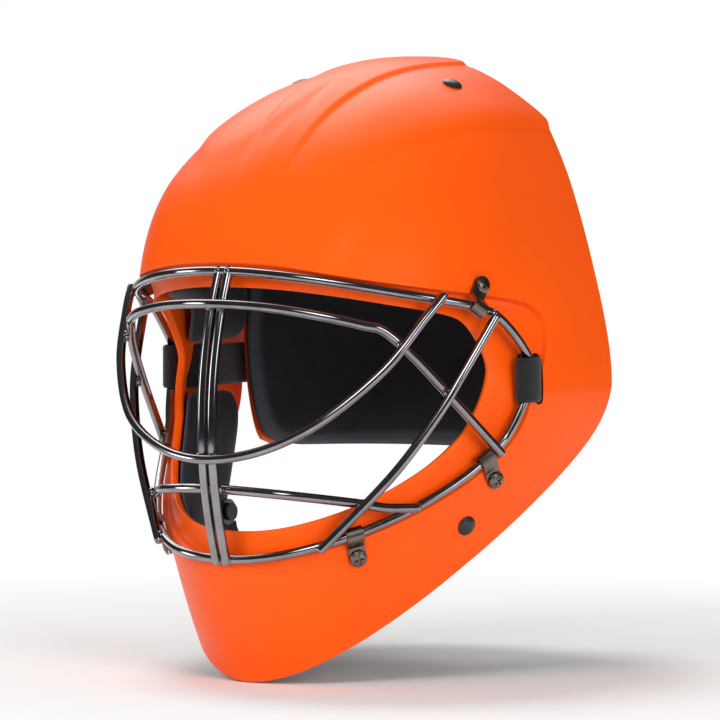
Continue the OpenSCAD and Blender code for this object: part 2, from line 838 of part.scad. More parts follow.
module bowl(r_max, low, high) {
    steps = 28;
    angles = [for (i = [0 : steps - 1]) 360 * i / steps];
    radii = [for (r = [0.45, 0.8, 1]) r * r_max];
    cap(
        cup_at(0, 0, low),
        concat(
            [for (r = radii) [for (a = angles) cup_at(r, a, low)]],
            [for (i = [len(radii) - 1 : -1 : 0]) [for (a = angles) cup_at(radii[i], a, high)]]
        ),
        cup_at(0, 0, high)
    );
}

module chin_cup() {
    color("#1b1c1f") bowl(1, 0, 2.4);
}

module chin_cup_pad() {
    color("#2d2f35") bowl(0.9, 2.7, 7);
}

function chin_path() =
    let (y = jaw_stud_yz[0], z = jaw_stud_yz[1])
    spline([[eyelet_x, y, z - 5], [eyelet_x - 1.5, y, z - 10], [eyelet_x - 8, y, z - 20],
        [eyelet_x - 16, y, z - 30], [cup_half_x + 1, y, z - cup_drop + 9.5]], 4);

module chin_strap_left() {
    path = chin_path();
    color("#1f2024") loft(strap_sections(path, [for (p = path) [0, 1, 0]], chin_strap_w, web_t));
}

module chin_strap_right() {
    mirror([1, 0, 0]) chin_strap_left();
}

module chin_strap_eyelets() {
    color("#8a8d92") both()
        translate([eyelet_x - 1, jaw_stud_yz[0], jaw_stud_yz[1]]) rotate([0, 90, 0]) difference() {
            cylinder(h = 2, r = 6.5, $fn = 24);
            translate([0, 0, -1]) cylinder(h = 4, r = shank_r + 0.08, $fn = 20);
        }
}

// Adjuster on each chin strap: a frame with a slot for the strap
module chin_strap_slider_left() {
    path = chin_path();
    k = 9;
    d = path_dir(path, k, false);
    color("#141416") aim(path[k] - 3 * d, d, [0, 1, 0]) difference() {
        translate([-chin_strap_w / 2 - 2.5, -2.6, 0]) cube([chin_strap_w + 5, 5.2, 6]);
        translate([-chin_strap_w / 2 - 0.4, -web_t / 2 - 0.3, -1]) cube([chin_strap_w + 0.8, web_t + 0.6, 8]);
    }
}

module chin_strap_slider_right() {
    mirror([1, 0, 0]) chin_strap_slider_left();
}

shell();
back_plate();
forehead_pad();
crown_pad();
temple_pad_left();
temple_pad_right();
cheek_pad_left();
cheek_pad_right();
chin_guard_pad();
back_pad();
cage_ring();
cage_loop_bar();
cage_brow_bar();
cage_lower_bar();
cage_centre_bar_left();
cage_centre_bar_right();
cage_diagonal_left();
cage_diagonal_right();
temple_clips();
side_clips();
chin_clips();
clip_screws();
clip_nuts();
crown_studs();
jaw_studs();
harness_loop_left();
harness_loop_right();
harness_strap_left();
harness_strap_right();
harness_tail_left();
harness_tail_right();
harness_buckle_left();
harness_buckle_right();
harness_rear_strap();
crown_strap_left();
crown_strap_right();
plate_rivets();
chin_cup();
chin_cup_pad();
chin_strap_left();
chin_strap_right();
chin_strap_eyelets();
chin_strap_slider_left();
chin_strap_slider_right();
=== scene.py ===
"""Looks of the field hockey goalkeeper helmet, laid out as a Blender add-on.

Lengths in the code are millimetres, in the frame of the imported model, and meshes are written in metres.
"""

import math

import bmesh
import bpy
import numpy as np
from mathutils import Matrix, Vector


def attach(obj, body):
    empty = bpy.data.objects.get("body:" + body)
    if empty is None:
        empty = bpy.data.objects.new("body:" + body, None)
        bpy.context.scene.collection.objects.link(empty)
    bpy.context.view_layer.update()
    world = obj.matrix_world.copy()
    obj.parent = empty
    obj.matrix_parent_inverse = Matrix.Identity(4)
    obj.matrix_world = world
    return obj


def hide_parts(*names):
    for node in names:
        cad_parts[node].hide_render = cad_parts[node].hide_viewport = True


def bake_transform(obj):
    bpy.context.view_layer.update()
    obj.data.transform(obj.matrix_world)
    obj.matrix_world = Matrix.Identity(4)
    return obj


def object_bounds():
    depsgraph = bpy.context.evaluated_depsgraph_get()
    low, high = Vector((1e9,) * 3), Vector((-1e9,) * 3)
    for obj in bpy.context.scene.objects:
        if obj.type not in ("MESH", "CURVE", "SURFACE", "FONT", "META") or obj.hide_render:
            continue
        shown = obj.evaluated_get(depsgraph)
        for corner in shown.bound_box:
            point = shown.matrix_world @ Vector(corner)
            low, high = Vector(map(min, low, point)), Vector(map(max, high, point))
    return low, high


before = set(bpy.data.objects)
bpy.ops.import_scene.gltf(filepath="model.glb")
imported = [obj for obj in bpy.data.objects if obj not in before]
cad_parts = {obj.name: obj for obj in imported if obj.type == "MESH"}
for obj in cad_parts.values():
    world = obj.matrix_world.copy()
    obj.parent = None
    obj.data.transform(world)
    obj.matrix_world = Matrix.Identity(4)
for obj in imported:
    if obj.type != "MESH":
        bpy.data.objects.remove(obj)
cad_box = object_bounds()

bl_info = {
    "name": "Goalkeeper helmet looks",
    "version": (1, 0, 0),
    "blender": (4, 5, 0),
    "location": "3D View > Sidebar > Helmet",
    "description": "Builds the shell, cage, liner, straps and stage of a goalkeeper helmet",
    "category": "Object",
}

MM = 0.001
MID = np.array([0.0, 0.0, 5.0])


# Sizes and colours


def size(name, default):
    """A length in millimetres as a property that may change by a fifth."""
    about = {"name": name, "description": f"{name}, in millimetres"}
    return bpy.props.FloatProperty(**about, default=default, min=0.8 * default, max=1.2 * default)


def colour(name, default):
    """A linear colour as a property."""
    about = {"name": name, "description": f"Linear base colour: {name.lower()}"}
    return bpy.props.FloatVectorProperty(**about, default=default, min=0, max=1, size=3, subtype="COLOR")


class HelmetSizes(bpy.types.PropertyGroup):
    """Sizes that the surfaces are worked out from, in millimetres."""

    half_w: size("Half width of the shell at ear level", 117)
    rim_y: size("Plane of the rear rim", 66)
    crown_rise: size("Height of the crown above the widest level", 149)
    wall: size("Wall thickness of the shell", 4)
    step_depth: size("Depth of the step down to the flange", 4)
    lip_w: size("Half width of the stepped lip", 111)
    lip_up: size("Height of the lip above its middle", 53)
    lip_down: size("Depth of the lip below its middle", 92.5)
    ring_w: size("Half width of the cage ring", 109)
    ring_up: size("Height of the ring above its middle", 49.3)
    ring_down: size("Depth of the ring below its middle", 90.5)
    opening_w: size("Half width of the face opening", 94.5)
    opening_up: size("Height of the opening above its middle", 41)
    opening_down: size("Depth of the opening below its middle", 77)
    wire_r: size("Radius of the cage wire", 2.3)
    forehead_foam: size("Foam thickness at the forehead", 15)
    temple_foam: size("Foam thickness at the temples", 22)
    jaw_foam: size("Foam thickness at the jaw", 13)
    crown_foam: size("Foam thickness at the crown", 13)
    plate_w: size("Half width of the back plate", 100)
    plate_back_y: size("Rearmost face of the back plate", 126)
    plate_low: size("Lower edge of the back plate", 42.5)
    plate_wall: size("Wall thickness of the back plate", 3.5)
    back_foam: size("Foam thickness on the back plate", 12)
    harness_w: size("Width of the harness webbing", 22)
    web_t: size("Thickness of all webbing", 1.6)
    chin_strap_w: size("Width of the chin straps", 15)


class HelmetColours(bpy.types.PropertyGroup):
    """Linear base colours of the materials."""

    shell: colour("Moulded shell plastic", (0.98, 0.098, 0.0))
    foam: colour("Liner foam", (0.0135, 0.0145, 0.0185))
    wire: colour("Plated cage wire", (0.36, 0.345, 0.36))
    clip: colour("Plated strip clips", (0.26, 0.215, 0.18))
    screw: colour("Plated screws", (0.27, 0.22, 0.19))
    web: colour("Elastic webbing", (0.00605, 0.0066, 0.00825))
    nylon: colour("Buckles and cup", (0.016, 0.016, 0.018))
    stud: colour("Painted stud caps", (0.02, 0.02, 0.022))


# Fixed values of the form, the same as in the part's source
WIDEST_Y, WIDEST_Z = 60.0, 10.0
FRONT_LEN, CHIN_DROP, PROFILE_POWER = 171.0, 255.0, 2.33
KNEE_W, KNEE_Z, LEAN_LOW, LEAN_HIGH = 97.5, 82.0, 0.25, 0.43
JAW_Z, JAW_IN, JAW_H = -5.0, 37.0, 125.0
FRONT_Y, BAND_FRONT, BAND_REAR = -105.0, 9.0, 26.0
FACET_FRONT, FACET_REAR, FACET_CURVE = 0.16, 0.48, 0.0022
BAND_RADIUS, CREASE_FRONT, CREASE_REAR = 260.0, 9.0, 1.6
JAW_SLOPE, JAW_OFFSET, CORNER_SOFT = 40.0, 58.5, 8.0
TOP_SAG, SIDE_SAG, OUTLINE_CORNER = 0.0016, 0.0052, 3.0
RING_Y, RING_DEPTH, RING_FRONT, OPENING_Y, OPENING_DEPTH = 1.0, 109.0, -104.4, -16.0, 82.0
PLATE_MID = np.array([0.0, 52.0, 20.0])
PLATE_UP, PLATE_DOWN, PLATE_POWER, PLATE_FRONT_Y = 128.0, 138.0, 2.1, 47.0
PLATE_SOFT, PLATE_PAD_SOFT, PLATE_PAD_RISE = 4.0, 10.0, 1.1
STRAP_Z, PAD_GAP, PLATE_PAD_GAP, PLATE_PAD_WRAP = 0.5, 0.5, 2.2, 7.0
JAW_STUD_Y, JAW_STUD_Z, EYELET_X = -23.5, -70.5, 58.0
CROWN_STUD = (47.0, 23.5)
CUP_HALF_X, CUP_HALF_Y, CUP_DROP = 32.0, 19.0, 52.0
BAR_X, BAR_Y, BAR_BOW, BAR_LEAN = 2.9, -105.0, 13.0, 1.3

# Cage wires, half of each, as points on the wire's centre line
LOOP = [(94.5, -54.3, 43), (90.2, -64.1, 31.9), (79.1, -83.4, 7.4), (56.9, -105, -17.2),
        (30.1, -116.4, -31.2), (0, -121.9, -35.9)]
BROW = [(103.4, -17.3, -34.7), (92.6, -47.4, -5), (84.1, -67.2, 15.1), (76.3, -78.8, 26.4), (70.3, -86, 29),
        (55.8, -97.8, 33.2), (30.3, -108.2, 37.4), (0, -114.1, 38.8)]
LOWER = [(81.3, -56.5, -59.8), (70.5, -68.7, -59.6), (59.7, -79.2, -57.1), (34, -105.4, -52.5),
         (0, -110.7, -51)]
DIAGONAL = [(106.9, -27.6, 32.1), (99, -45.3, 4.1), (91.5, -56.2, -15.9), (76, -71.5, -44.2),
            (48.9, -92.3, -79.5)]
LOOP_PLAN = [(95.4, 12), (98.6, 7.5), (101.6, 3), (104.6, -2), (104.5, -5.6), (106.9, -7.7), (110.2, -6.9),
             (111.9, -3.4), (112.6, 0.9), (111.9, 4), (109, 7.2), (104.4, 10.4), (99.6, 13)]
# Harness slots: middle and direction in plan, then width, room for the strap and half length
SLOTS = ((103.4, 0.3, -56.0), (108.2, 7.3, -40.0))
SLOT_W, SLOT_ROOM, SLOT_RUN = 4.6, 3.0, 11.5
# Straps: the harness run in plan, its lift off the plate, and the angles of tail and rear strap
RUN_PLAN = [(97.5, 14.4), (98.6, 24), (100.4, 36), (101.8, 46)]
WEB_LIFT, RUN_END, TAIL_ANGLES, REAR_ANGLES = 1.3, 4, (5, 62, 7), (70, 111, 5)
CROWN_STRAP_W, CROWN_ANGLE, CROWN_TILT = 13, 73.0, 86.0

# What only the looks have: rounded edges, hollows beside the crown's creases, rubbed edges, welds
SHELL_TURNS, SHELL_ROWS, FLANGE_IN = 480, 76, 1.2
SHELL_ROUNDING = [1.7, 1.4, 1.9, 1.8, 1.8, 1.7]
PLATE_ROUNDING, PAD_ROUNDING, CUP_ROUNDING, CUP_FOAM_ROUNDING = 1.6, 2.6, 1.1, 1.6
HOLLOW, LIP_WEAR, LIP_WEAR_LENGTH, EDGE_WEAR = 1.7, 1.0, 2.2, 0.8
PAD_POWER, CUP_POWER = 7, 3
WELD_WIDE, WELD_HIGH, WELD_REACH, WELD_BURIED, WELD_APART = 1.25, 0.95, 0.4, 0.3, 12

# Stage in metres: camera, lamps by place, aim, sides and power. The floor is in millimetres
AZIMUTH, ELEVATION, DISTANCE, LENS, AIM = 35, 3, 2.5, 250, (0.0074, 0.0, 0.007)
LAMPS = (
    ("key", (-0.3, -1.9, 1.0), (0, 0, 0.0), (1.0, 1.0), 21),
    ("top", (-0.6, 0.2, 1.8), (0, 0, 0.05), (0.6, 0.6), 14),
    ("side", (1.9, -1.0, 0.4), (0, 0, 0.0), (0.9, 1.3), 26),
)
FLOOR_GAP, FLOOR_SIDES, FLOOR_RINGS, FLOOR_FADE = 0.2, 64, (250, 400, 600, 900), (230, 520)
# Soft boxes that only reflections see: direction, cosines of their faded rim, and strength
SOFT_BOXES = (
    ((-0.5, 0.45, 0.74), 0.84, 0.975, 4.0),
    ((0.39, -0.71, 0.58), 0.955, 0.99, 5.0),
    ((-0.75, 0.66, 0.05), 0.93, 0.99, 0.5),
    ((-0.8, -0.6, 0.1), 0.985, 0.995, 6.0),
    ((0.98, -0.1, 0.2), 0.98, 0.995, 4.0),
    ((0.2, -0.55, -0.8), 0.96, 0.99, 0.6),
)
MIRROR, MIRROR_RISE, GLOW, GLOW_RISE = 0.045, 0.04, 0.3, 0.12


def sizes():
    return bpy.context.scene.helmet_sizes


def colours():
    return bpy.context.scene.helmet_colours


# Small numeric helpers


def cosd(a):
    return np.cos(np.radians(a))


def sind(a):
    return np.sin(np.radians(a))


def soft_max(values, k):
    """Log of the sum of exponentials: the largest value, rounded over about k millimetres."""
    v = np.stack(np.broadcast_arrays(*values))
    m = v.max(0)
    return m + k * np.log(np.exp((v - m) / k).sum(0))


def soft_min(values, k):
    return -soft_max([-v for v in values], k)


def ramp(a, a0, a1):
    return np.clip((a - a0) / (a1 - a0), 0, 1)


def mix(a, b, f):
    return a + (b - a) * f


def unit(v):
    return v / np.maximum(np.linalg.norm(v, axis=-1, keepdims=True), 1e-12)


def mirrored(points):
    return np.asarray(points) * np.array([-1.0, 1.0, 1.0])


def both_sides(half):
    half = np.asarray(half, float)
    return np.concatenate([half, mirrored(half)[-2::-1]])


def halving(inside, shape, low, high, rounds):
    """The value between low and high up to which a test holds, found by halving."""
    lo, hi = np.full(shape, float(low)), np.full(shape, float(high))
    for _ in range(rounds):
        m = (lo + hi) / 2
        holds = inside(m)
        lo, hi = np.where(holds, m, lo), np.where(holds, hi, m)
    return (lo + hi) / 2


def ray(t, tilt, facing):
    """Unit vectors (cos t sin tilt, facing cos tilt, sin t sin tilt)."""
    return np.stack(np.broadcast_arrays(cosd(t) * sind(tilt), facing * cosd(tilt), sind(t) * sind(tilt)), -1)


def turn(count):
    """Even angles of a whole turn, in degrees."""
    return np.linspace(0, 360, count, endpoint=False)


def spline(points, span):
    """Catmull-Rom curve: cubics through the points, each slope half the step between the neighbours."""
    p = np.asarray(points, float)
    i = np.arange(len(p) - 1)
    a, b, c, d = (p[np.clip(i + k, 0, len(p) - 1)][:, None, :] for k in (-1, 0, 1, 2))
    u = (np.arange(span) / span)[None, :, None]
    out = 0.5 * (2 * b + (c - a) * u + (2 * a - 5 * b + 4 * c - d) * u**2 + (3 * b - a - 3 * c + d) * u**3)
    return np.concatenate([out.reshape(-1, p.shape[1]), p[-1:]])


def even(path, step, closed=False):
    """The same path at even steps of about the given length."""
    p = np.concatenate([path, path[:1]]) if closed else path
    s = np.concatenate([[0], np.cumsum(np.linalg.norm(np.diff(p, axis=0), axis=1))])
    n = max(2, int(round(s[-1] / step)))
    at = np.linspace(0, s[-1], n + 1)
    q = np.stack([np.interp(at, s, p[:, k]) for k in range(p.shape[1])], 1)
    return q[:-1] if closed else q


def directions(path, closed=False):
    if closed:
        return unit(np.roll(path, -1, 0) - np.roll(path, 1, 0))
    return unit(np.gradient(path, axis=0))


# The shell's form


class Form:
    """Shell, ring and opening as functions of the angle t round the face and the tilt from the front."""

    def __init__(self):
        self.s = sizes()

    def side_w(self, z):
        """Half width at height z: least of a wall and two leaning lines, less a power of the jaw's depth."""
        lines = [self.s.half_w + 0 * z, *(KNEE_W + lean * (KNEE_Z - z) for lean in (LEAN_LOW, LEAN_HIGH))]
        return soft_min(lines, 3) - JAW_IN * (np.maximum(0, JAW_Z - z) / JAW_H) ** 1.2

    def front_reach(self, z):
        """Quarter superellipse from the widest plane to the front."""
        b = np.where(z > WIDEST_Z, self.s.crown_rise, CHIN_DROP)
        u = np.minimum(0.9999, abs(z - WIDEST_Z) / b)
        return FRONT_LEN * (1 - u**PROFILE_POWER) ** (1 / PROFILE_POWER)

    def crown(self, y):
        u = np.minimum(0.9999, np.maximum(0, WIDEST_Y - y) / FRONT_LEN)
        return WIDEST_Z + self.s.crown_rise * (1 - u**PROFILE_POWER) ** (1 / PROFILE_POWER)

    def faces(self, p):
        """Side by plan section, centre band, curved facet, share of the way back, way past the band."""
        x, y, z = abs(p[..., 0]), p[..., 1], p[..., 2]
        f = ramp(y, FRONT_Y, self.s.rim_y)
        a = self.side_w(z)
        n = 2 + 0.3 * ramp(z, -90, 30) + 0.6 * ramp(z, 30, 95)
        back = np.minimum(5, np.maximum(0, WIDEST_Y - y) / self.front_reach(z))
        side = (((x / a) ** n + back**n) ** (1 / n) - 1) * a
        over = z - self.crown(y)
        top = over + x * x / (2 * BAND_RADIUS)
        b, k = mix(BAND_FRONT, BAND_REAR, f), mix(FACET_FRONT, FACET_REAR, f)
        slant = k * (x - b) + FACET_CURVE * np.maximum(0, x - b) ** 2 + b * b / (2 * BAND_RADIUS)
        facet = (over + slant) / np.sqrt(1 + k * k)
        return side, top, facet, f, x - b

    def value(self, p):
        """Soft maximum of the side, the band and the facet: zero on the outer face."""
        side, top, facet, f, _ = self.faces(p)
        return soft_max([side, top, facet], mix(CREASE_FRONT, CREASE_REAR, f))

    def hollow(self, p):
        """Depth of the hollows beside the centre band and below the facet, fading towards the brow."""
        side, _, facet, _, past = self.faces(p)
        fade = ramp(p[..., 1], -90, -25)
        dip = lambda u: sind(90 * ramp(u, -1, 3.5)) ** 2 * (1 - ramp(u, 3.5, 26)) ** 1.6
        return HOLLOW * fade * (dip(past) + dip(1.3 * (side - facet)))

    def normal(self, p):
        e = 0.25
        steps = e * np.eye(3)
        return unit(np.stack([self.value(p + q) - self.value(p - q) for q in steps], -1))

    def reach(self, origin, d):
        """Distance to the outer face along rays."""
        return halving(lambda m: self.value(origin + m[..., None] * d) < 0, d.shape[:-1], 40, 210, 22)

    def on_shell(self, t, tilt):
        d = ray(t, tilt, -1)
        return MID + self.reach(MID, d)[..., None] * d

    def outline_r(self, t, w, up, down):
        """Front-view radius: a shallow arch on two sides above, a superellipse below."""
        c, s = abs(cosd(t)), np.maximum(sind(t), 0)
        top = 2 * up / (s + np.sqrt(s * s + 4 * TOP_SAG * c * c * up) + 1e-9)
        side = 2 * w / (c + np.sqrt(c * c + 4 * SIDE_SAG * s * s * w) + 1e-9)
        arch = soft_min([top, side], OUTLINE_CORNER)
        low = ((c / w) ** 2.1 + (abs(sind(t)) / down) ** 2.1) ** (-1 / 2.1)
        return np.where(sind(t) > 0, arch, low)

    def outline_at(self, t, w, up, down, y0, depth):
        """The outline set back in plan: a superellipse from y0 at the sides to y0 - depth in the middle."""
        r = self.outline_r(t, w, up, down)
        x = r * cosd(t)
        f, u = ramp(sind(t), -0.3, 0.3), np.minimum(1, abs(x) / w)
        y = y0 - depth * (1 - u ** mix(2.15, 1.85, f)) ** (1 / mix(1, 1.85, f))
        return np.stack([x, y, MID[2] + r * sind(t)], -1)

    def ring_at(self, t):
        s = self.s
        p = self.outline_at(t, s.ring_w, s.ring_up, s.ring_down, RING_Y, RING_DEPTH)
        p[..., 1] = soft_max([p[..., 1], RING_FRONT], 2)
        return p

    def opening_at(self, t):
        s = self.s
        return self.outline_at(t, s.opening_w, s.opening_up, s.opening_down, OPENING_Y, OPENING_DEPTH)

    def lip_tilt(self, t):
        """Tilt at which the outer face leaves the lip's outline in front view."""
        s = self.s

        def inside(m):
            p = self.on_shell(t, m)
            x, z = p[..., 0], p[..., 2] - MID[2]
            a = np.degrees(np.arctan2(z, x))
            return np.hypot(x, z) < self.outline_r(a, s.lip_w, s.lip_up, s.lip_down)

        return halving(inside, t.shape, 20, 100, 18)

    def edge_tilt(self, t):
        """Tilt at which the outer face meets the rear rim's plane or the jaw's slanted plane."""

        def inside(m):
            p = self.on_shell(t, m)
            jaw = sind(JAW_SLOPE) * p[..., 1] - cosd(JAW_SLOPE) * p[..., 2] - JAW_OFFSET
            return soft_max([p[..., 1] - self.s.rim_y, jaw], CORNER_SOFT) < 0

        return halving(inside, t.shape, 40, 130, 18)

    def plate_at(self, t, tilt, lift=0.0):
        """Superellipsoid of the back plate along a ray from its middle, raised by lift."""
        d = ray(t, tilt, 1)
        a = self.s.plate_w + lift
        b = self.s.plate_back_y - PLATE_MID[1] + lift
        c = np.where(d[..., 2] > 0, PLATE_UP, PLATE_DOWN) + lift
        n = PLATE_POWER
        total = (abs(d[..., 0]) / a) ** n + (abs(d[..., 1]) / b) ** n + (abs(d[..., 2]) / c) ** n
        return PLATE_MID + (total ** (-1 / n))[..., None] * d

    def plate_tilt(self, t, lift, front, low, soft):
        """Angle from the rear at which a layer of the plate meets its front or lower edge."""

        def inside(m):
            p = self.plate_at(t, m, lift)
            return soft_max([front - p[..., 1], low - p[..., 2]], soft) < 0

        return halving(inside, t.shape, 20, 100, 18)


# Mesh making


def grid_faces(rows, cols, wrap_rows, wrap_cols):
    i = np.arange(rows if wrap_rows else rows - 1)[:, None]
    j = np.arange(cols if wrap_cols else cols - 1)[None, :]
    i2, j2 = (i + 1) % rows, (j + 1) % cols
    return np.stack([i * cols + j, i2 * cols + j, i2 * cols + j2, i * cols + j2], -1).reshape(-1, 4)


def write_mesh(name, points, quads, tris=None, attributes=None):
    """Writes arrays of corners and faces into a new mesh, turned outwards if it is inside out."""
    points = np.asarray(points, float)
    quads = np.asarray(quads, int).reshape(-1, 4)
    tris = np.zeros((0, 3), int) if tris is None else np.asarray(tris, int).reshape(-1, 3)
    fans = np.concatenate([quads[:, [0, 1, 2]], quads[:, [0, 2, 3]], tris])
    a, b, c = (points[fans[:, k]] for k in range(3))
    if np.einsum("ij,ij->i", a, np.cross(b, c)).sum() < 0:
        quads, tris = quads[:, ::-1], tris[:, ::-1]
    mesh = bpy.data.meshes.new(name)
    mesh.vertices.add(len(points))
    mesh.vertices.foreach_set("co", (points * MM).astype(np.float32).ravel())
    loops = np.concatenate([quads.ravel(), tris.ravel()]).astype(np.int32)
    starts = np.concatenate([np.arange(len(quads)) * 4, len(quads) * 4 + np.arange(len(tris)) * 3])
    mesh.loops.add(len(loops))
    mesh.loops.foreach_set("vertex_index", loops)
    mesh.polygons.add(len(starts))
    mesh.polygons.foreach_set("loop_start", starts.astype(np.int32))
    mesh.update(calc_edges=True)
    if mesh.validate():
        raise RuntimeError(f"{name}: the mesh had faulty faces")
    for key, values in (attributes or {}).items():
        values = np.asarray(values, np.float32)
        kind, field = ("FLOAT", "value") if values.ndim == 1 else ("FLOAT_VECTOR", "vector")
        mesh.attributes.new(key, kind, "POINT").data.foreach_set(field, values.ravel())
    return mesh


def soften(mesh, key):
    """Gives a mesh its one material and smooth shading between edges of more than 35 degrees."""
    mesh.materials.clear()
    mesh.materials.append(material(key))
    mesh.shade_smooth()
    mesh.set_sharp_from_angle(angle=math.radians(35))


def add_object(name, data):
    """An object at the origin of the scene."""
    made = bpy.data.objects.new(name, data)
    bpy.context.scene.collection.objects.link(made)
    return made


def add_piece(name, parts, body, key, stands_for=()):
    """Writes a piece's mesh, puts it into the scene at the origin and ties it to its body."""
    mesh = write_mesh(name, *parts)
    soften(mesh, key)
    piece = add_object(name, mesh)
    if body:
        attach(piece, body)
    if stands_for:
        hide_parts(*stands_for)
    return piece


def rounded(rows, corners, radii, steps):
    """Replaces corner rows of a stack of paths by short quadratic curves between the two sides."""
    out = []
    for k, p in enumerate(rows):
        if k not in corners:
            out.append(p)
            continue
        r = radii[corners.index(k)]
        ways = (rows[k - 1] - p, rows[(k + 1) % len(rows)] - p)
        far = [np.linalg.norm(way, axis=-1, keepdims=True) for way in ways]
        a, b = (p + way / f * np.minimum(r, f * 0.48) for way, f in zip(ways, far))
        for u in np.linspace(0, 1, steps):
            out.append((1 - u) ** 2 * a + 2 * u * (1 - u) * p + u * u * b)
    return out


def tube(path, radius, closed, sides=20, end=0.8):
    """A round tube along a path: each point's circle lies square to it, and open ends round over."""
    d = directions(path, closed)
    u = unit(np.cross(d, np.broadcast_to([0.0, 1.0, 0.0], d.shape)))
    v = np.cross(d, u)
    a = turn(sides)
    circle = cosd(a)[None, :, None] * u[:, None, :] + sind(a)[None, :, None] * v[:, None, :]
    if closed:
        points = (path[:, None, :] + radius * circle).reshape(-1, 3)
        return points, grid_faces(len(path), sides, True, True), None
    caps = np.array([0.0, 0.45, 0.8, 1.0])
    grow = np.sqrt(np.maximum(0, 1 - (1 - caps) ** 2))[1:]
    out = (1 - caps[1:]) * end * radius
    rings = [path[0] - d[0] * o + radius * g * circle[0] for g, o in zip(grow, out)]
    rings += [path[i] + radius * circle[i] for i in range(1, len(path) - 1)]
    rings += [path[-1] + d[-1] * o + radius * g * circle[-1] for g, o in zip(grow[::-1], out[::-1])]
    return close_ends(np.array(rings), path[0] - d[0] * end * radius, path[-1] + d[-1] * end * radius)


def close_ends(rings, first, last):
    """A row of closed rings with a point at each end."""
    n, m = rings.shape[:2]
    points = np.concatenate([rings.reshape(-1, 3), [first], [last]])
    j = np.arange(m)
    j2 = (j + 1) % m
    tris = np.concatenate([
        np.stack([np.full(m, n * m), j, j2], 1),
        np.stack([np.full(m, n * m + 1), (n - 1) * m + j2, (n - 1) * m + j], 1),
    ])
    return points, grid_faces(n, m, False, True)[:, ::-1], tris


def joined(parts):
    """Several (points, quads, tris) as one."""
    base = np.cumsum([0] + [len(p) for p, _, _ in parts])
    points, quads, tris = zip(*((p, q + b, t + b) for (p, q, t), b in zip(parts, base)))
    return np.concatenate(points), np.concatenate(quads), np.concatenate(tris)


def strap_parts(path, across, width):
    """Flat webbing: a rounded strip section, thicker at its two woven edges, swept along a path."""
    d = directions(path)
    u = unit(across - np.einsum("ij,ij->i", across, d)[:, None] * d)
    v = np.cross(d, u)
    s = np.linspace(-1, 1, 19)
    edge = 0.86 + 0.14 * np.exp(-(((abs(s) - 0.9) / 0.07) ** 2))
    half = sizes().web_t / 2 * np.sqrt(np.maximum(0, 1 - abs(s) ** 14)) * edge
    outline = np.concatenate([np.stack([s, half], 1), np.stack([s, -half], 1)[-2:0:-1]])
    x, y = outline[None, :, 0:1], outline[None, :, 1:2]
    rings = path[:, None, :] + x * width / 2 * u[:, None, :] + y * v[:, None, :]
    points, quads, tris = close_ends(rings, path[0], path[-1])
    length = np.concatenate([[0], np.cumsum(np.linalg.norm(np.diff(path, axis=0), axis=1))])
    m = len(outline)
    weave = np.zeros((len(points), 3))
    weave[: len(path) * m, 0] = np.tile(outline[:, 0] * width / 2, len(path))
    weave[: len(path) * m, 1] = np.repeat(length, m)
    weave[-2:, 1] = [0, length[-1]]
    return points, quads, tris, {"weave": weave}


def capped_layer(outer, inner, pole_out, pole_in, radius, steps):
    """A closed pad or plate: rings out over one face, a rounded edge, and rings back over the other."""
    edge = rounded([outer[-2], outer[-1], inner[-1], inner[-2]], [1, 2], [radius, radius], steps)
    return close_ends(np.array(list(outer[:-1]) + edge[1:-1] + list(inner[-2::-1])), pole_out, pole_in)


# Shader maths


class Wire:
    """A shader socket that can be used in sums like a number."""

    def __init__(self, net, socket):
        self.net, self.socket = net, socket

    def maths(self, operation, *others):
        return self.net.make("Math", dict(enumerate((self, *others))), operation=operation)

    def __add__(self, other):
        return self.maths("ADD", other)

    def __mul__(self, other):
        return self.maths("MULTIPLY", other)

    def __pow__(self, other):
        return self.maths("POWER", other)

    __radd__, __rmul__ = __add__, __mul__

    def __rsub__(self, other):
        return self.net.make("Math", {0: other, 1: self}, operation="SUBTRACT")

    def clipped(self, low, high):
        """0 below low, 1 above high, and a straight line between."""
        return self.net.make("MapRange", {0: self, 1: low, 2: high, 3: 0, 4: 1}, clamp=True)


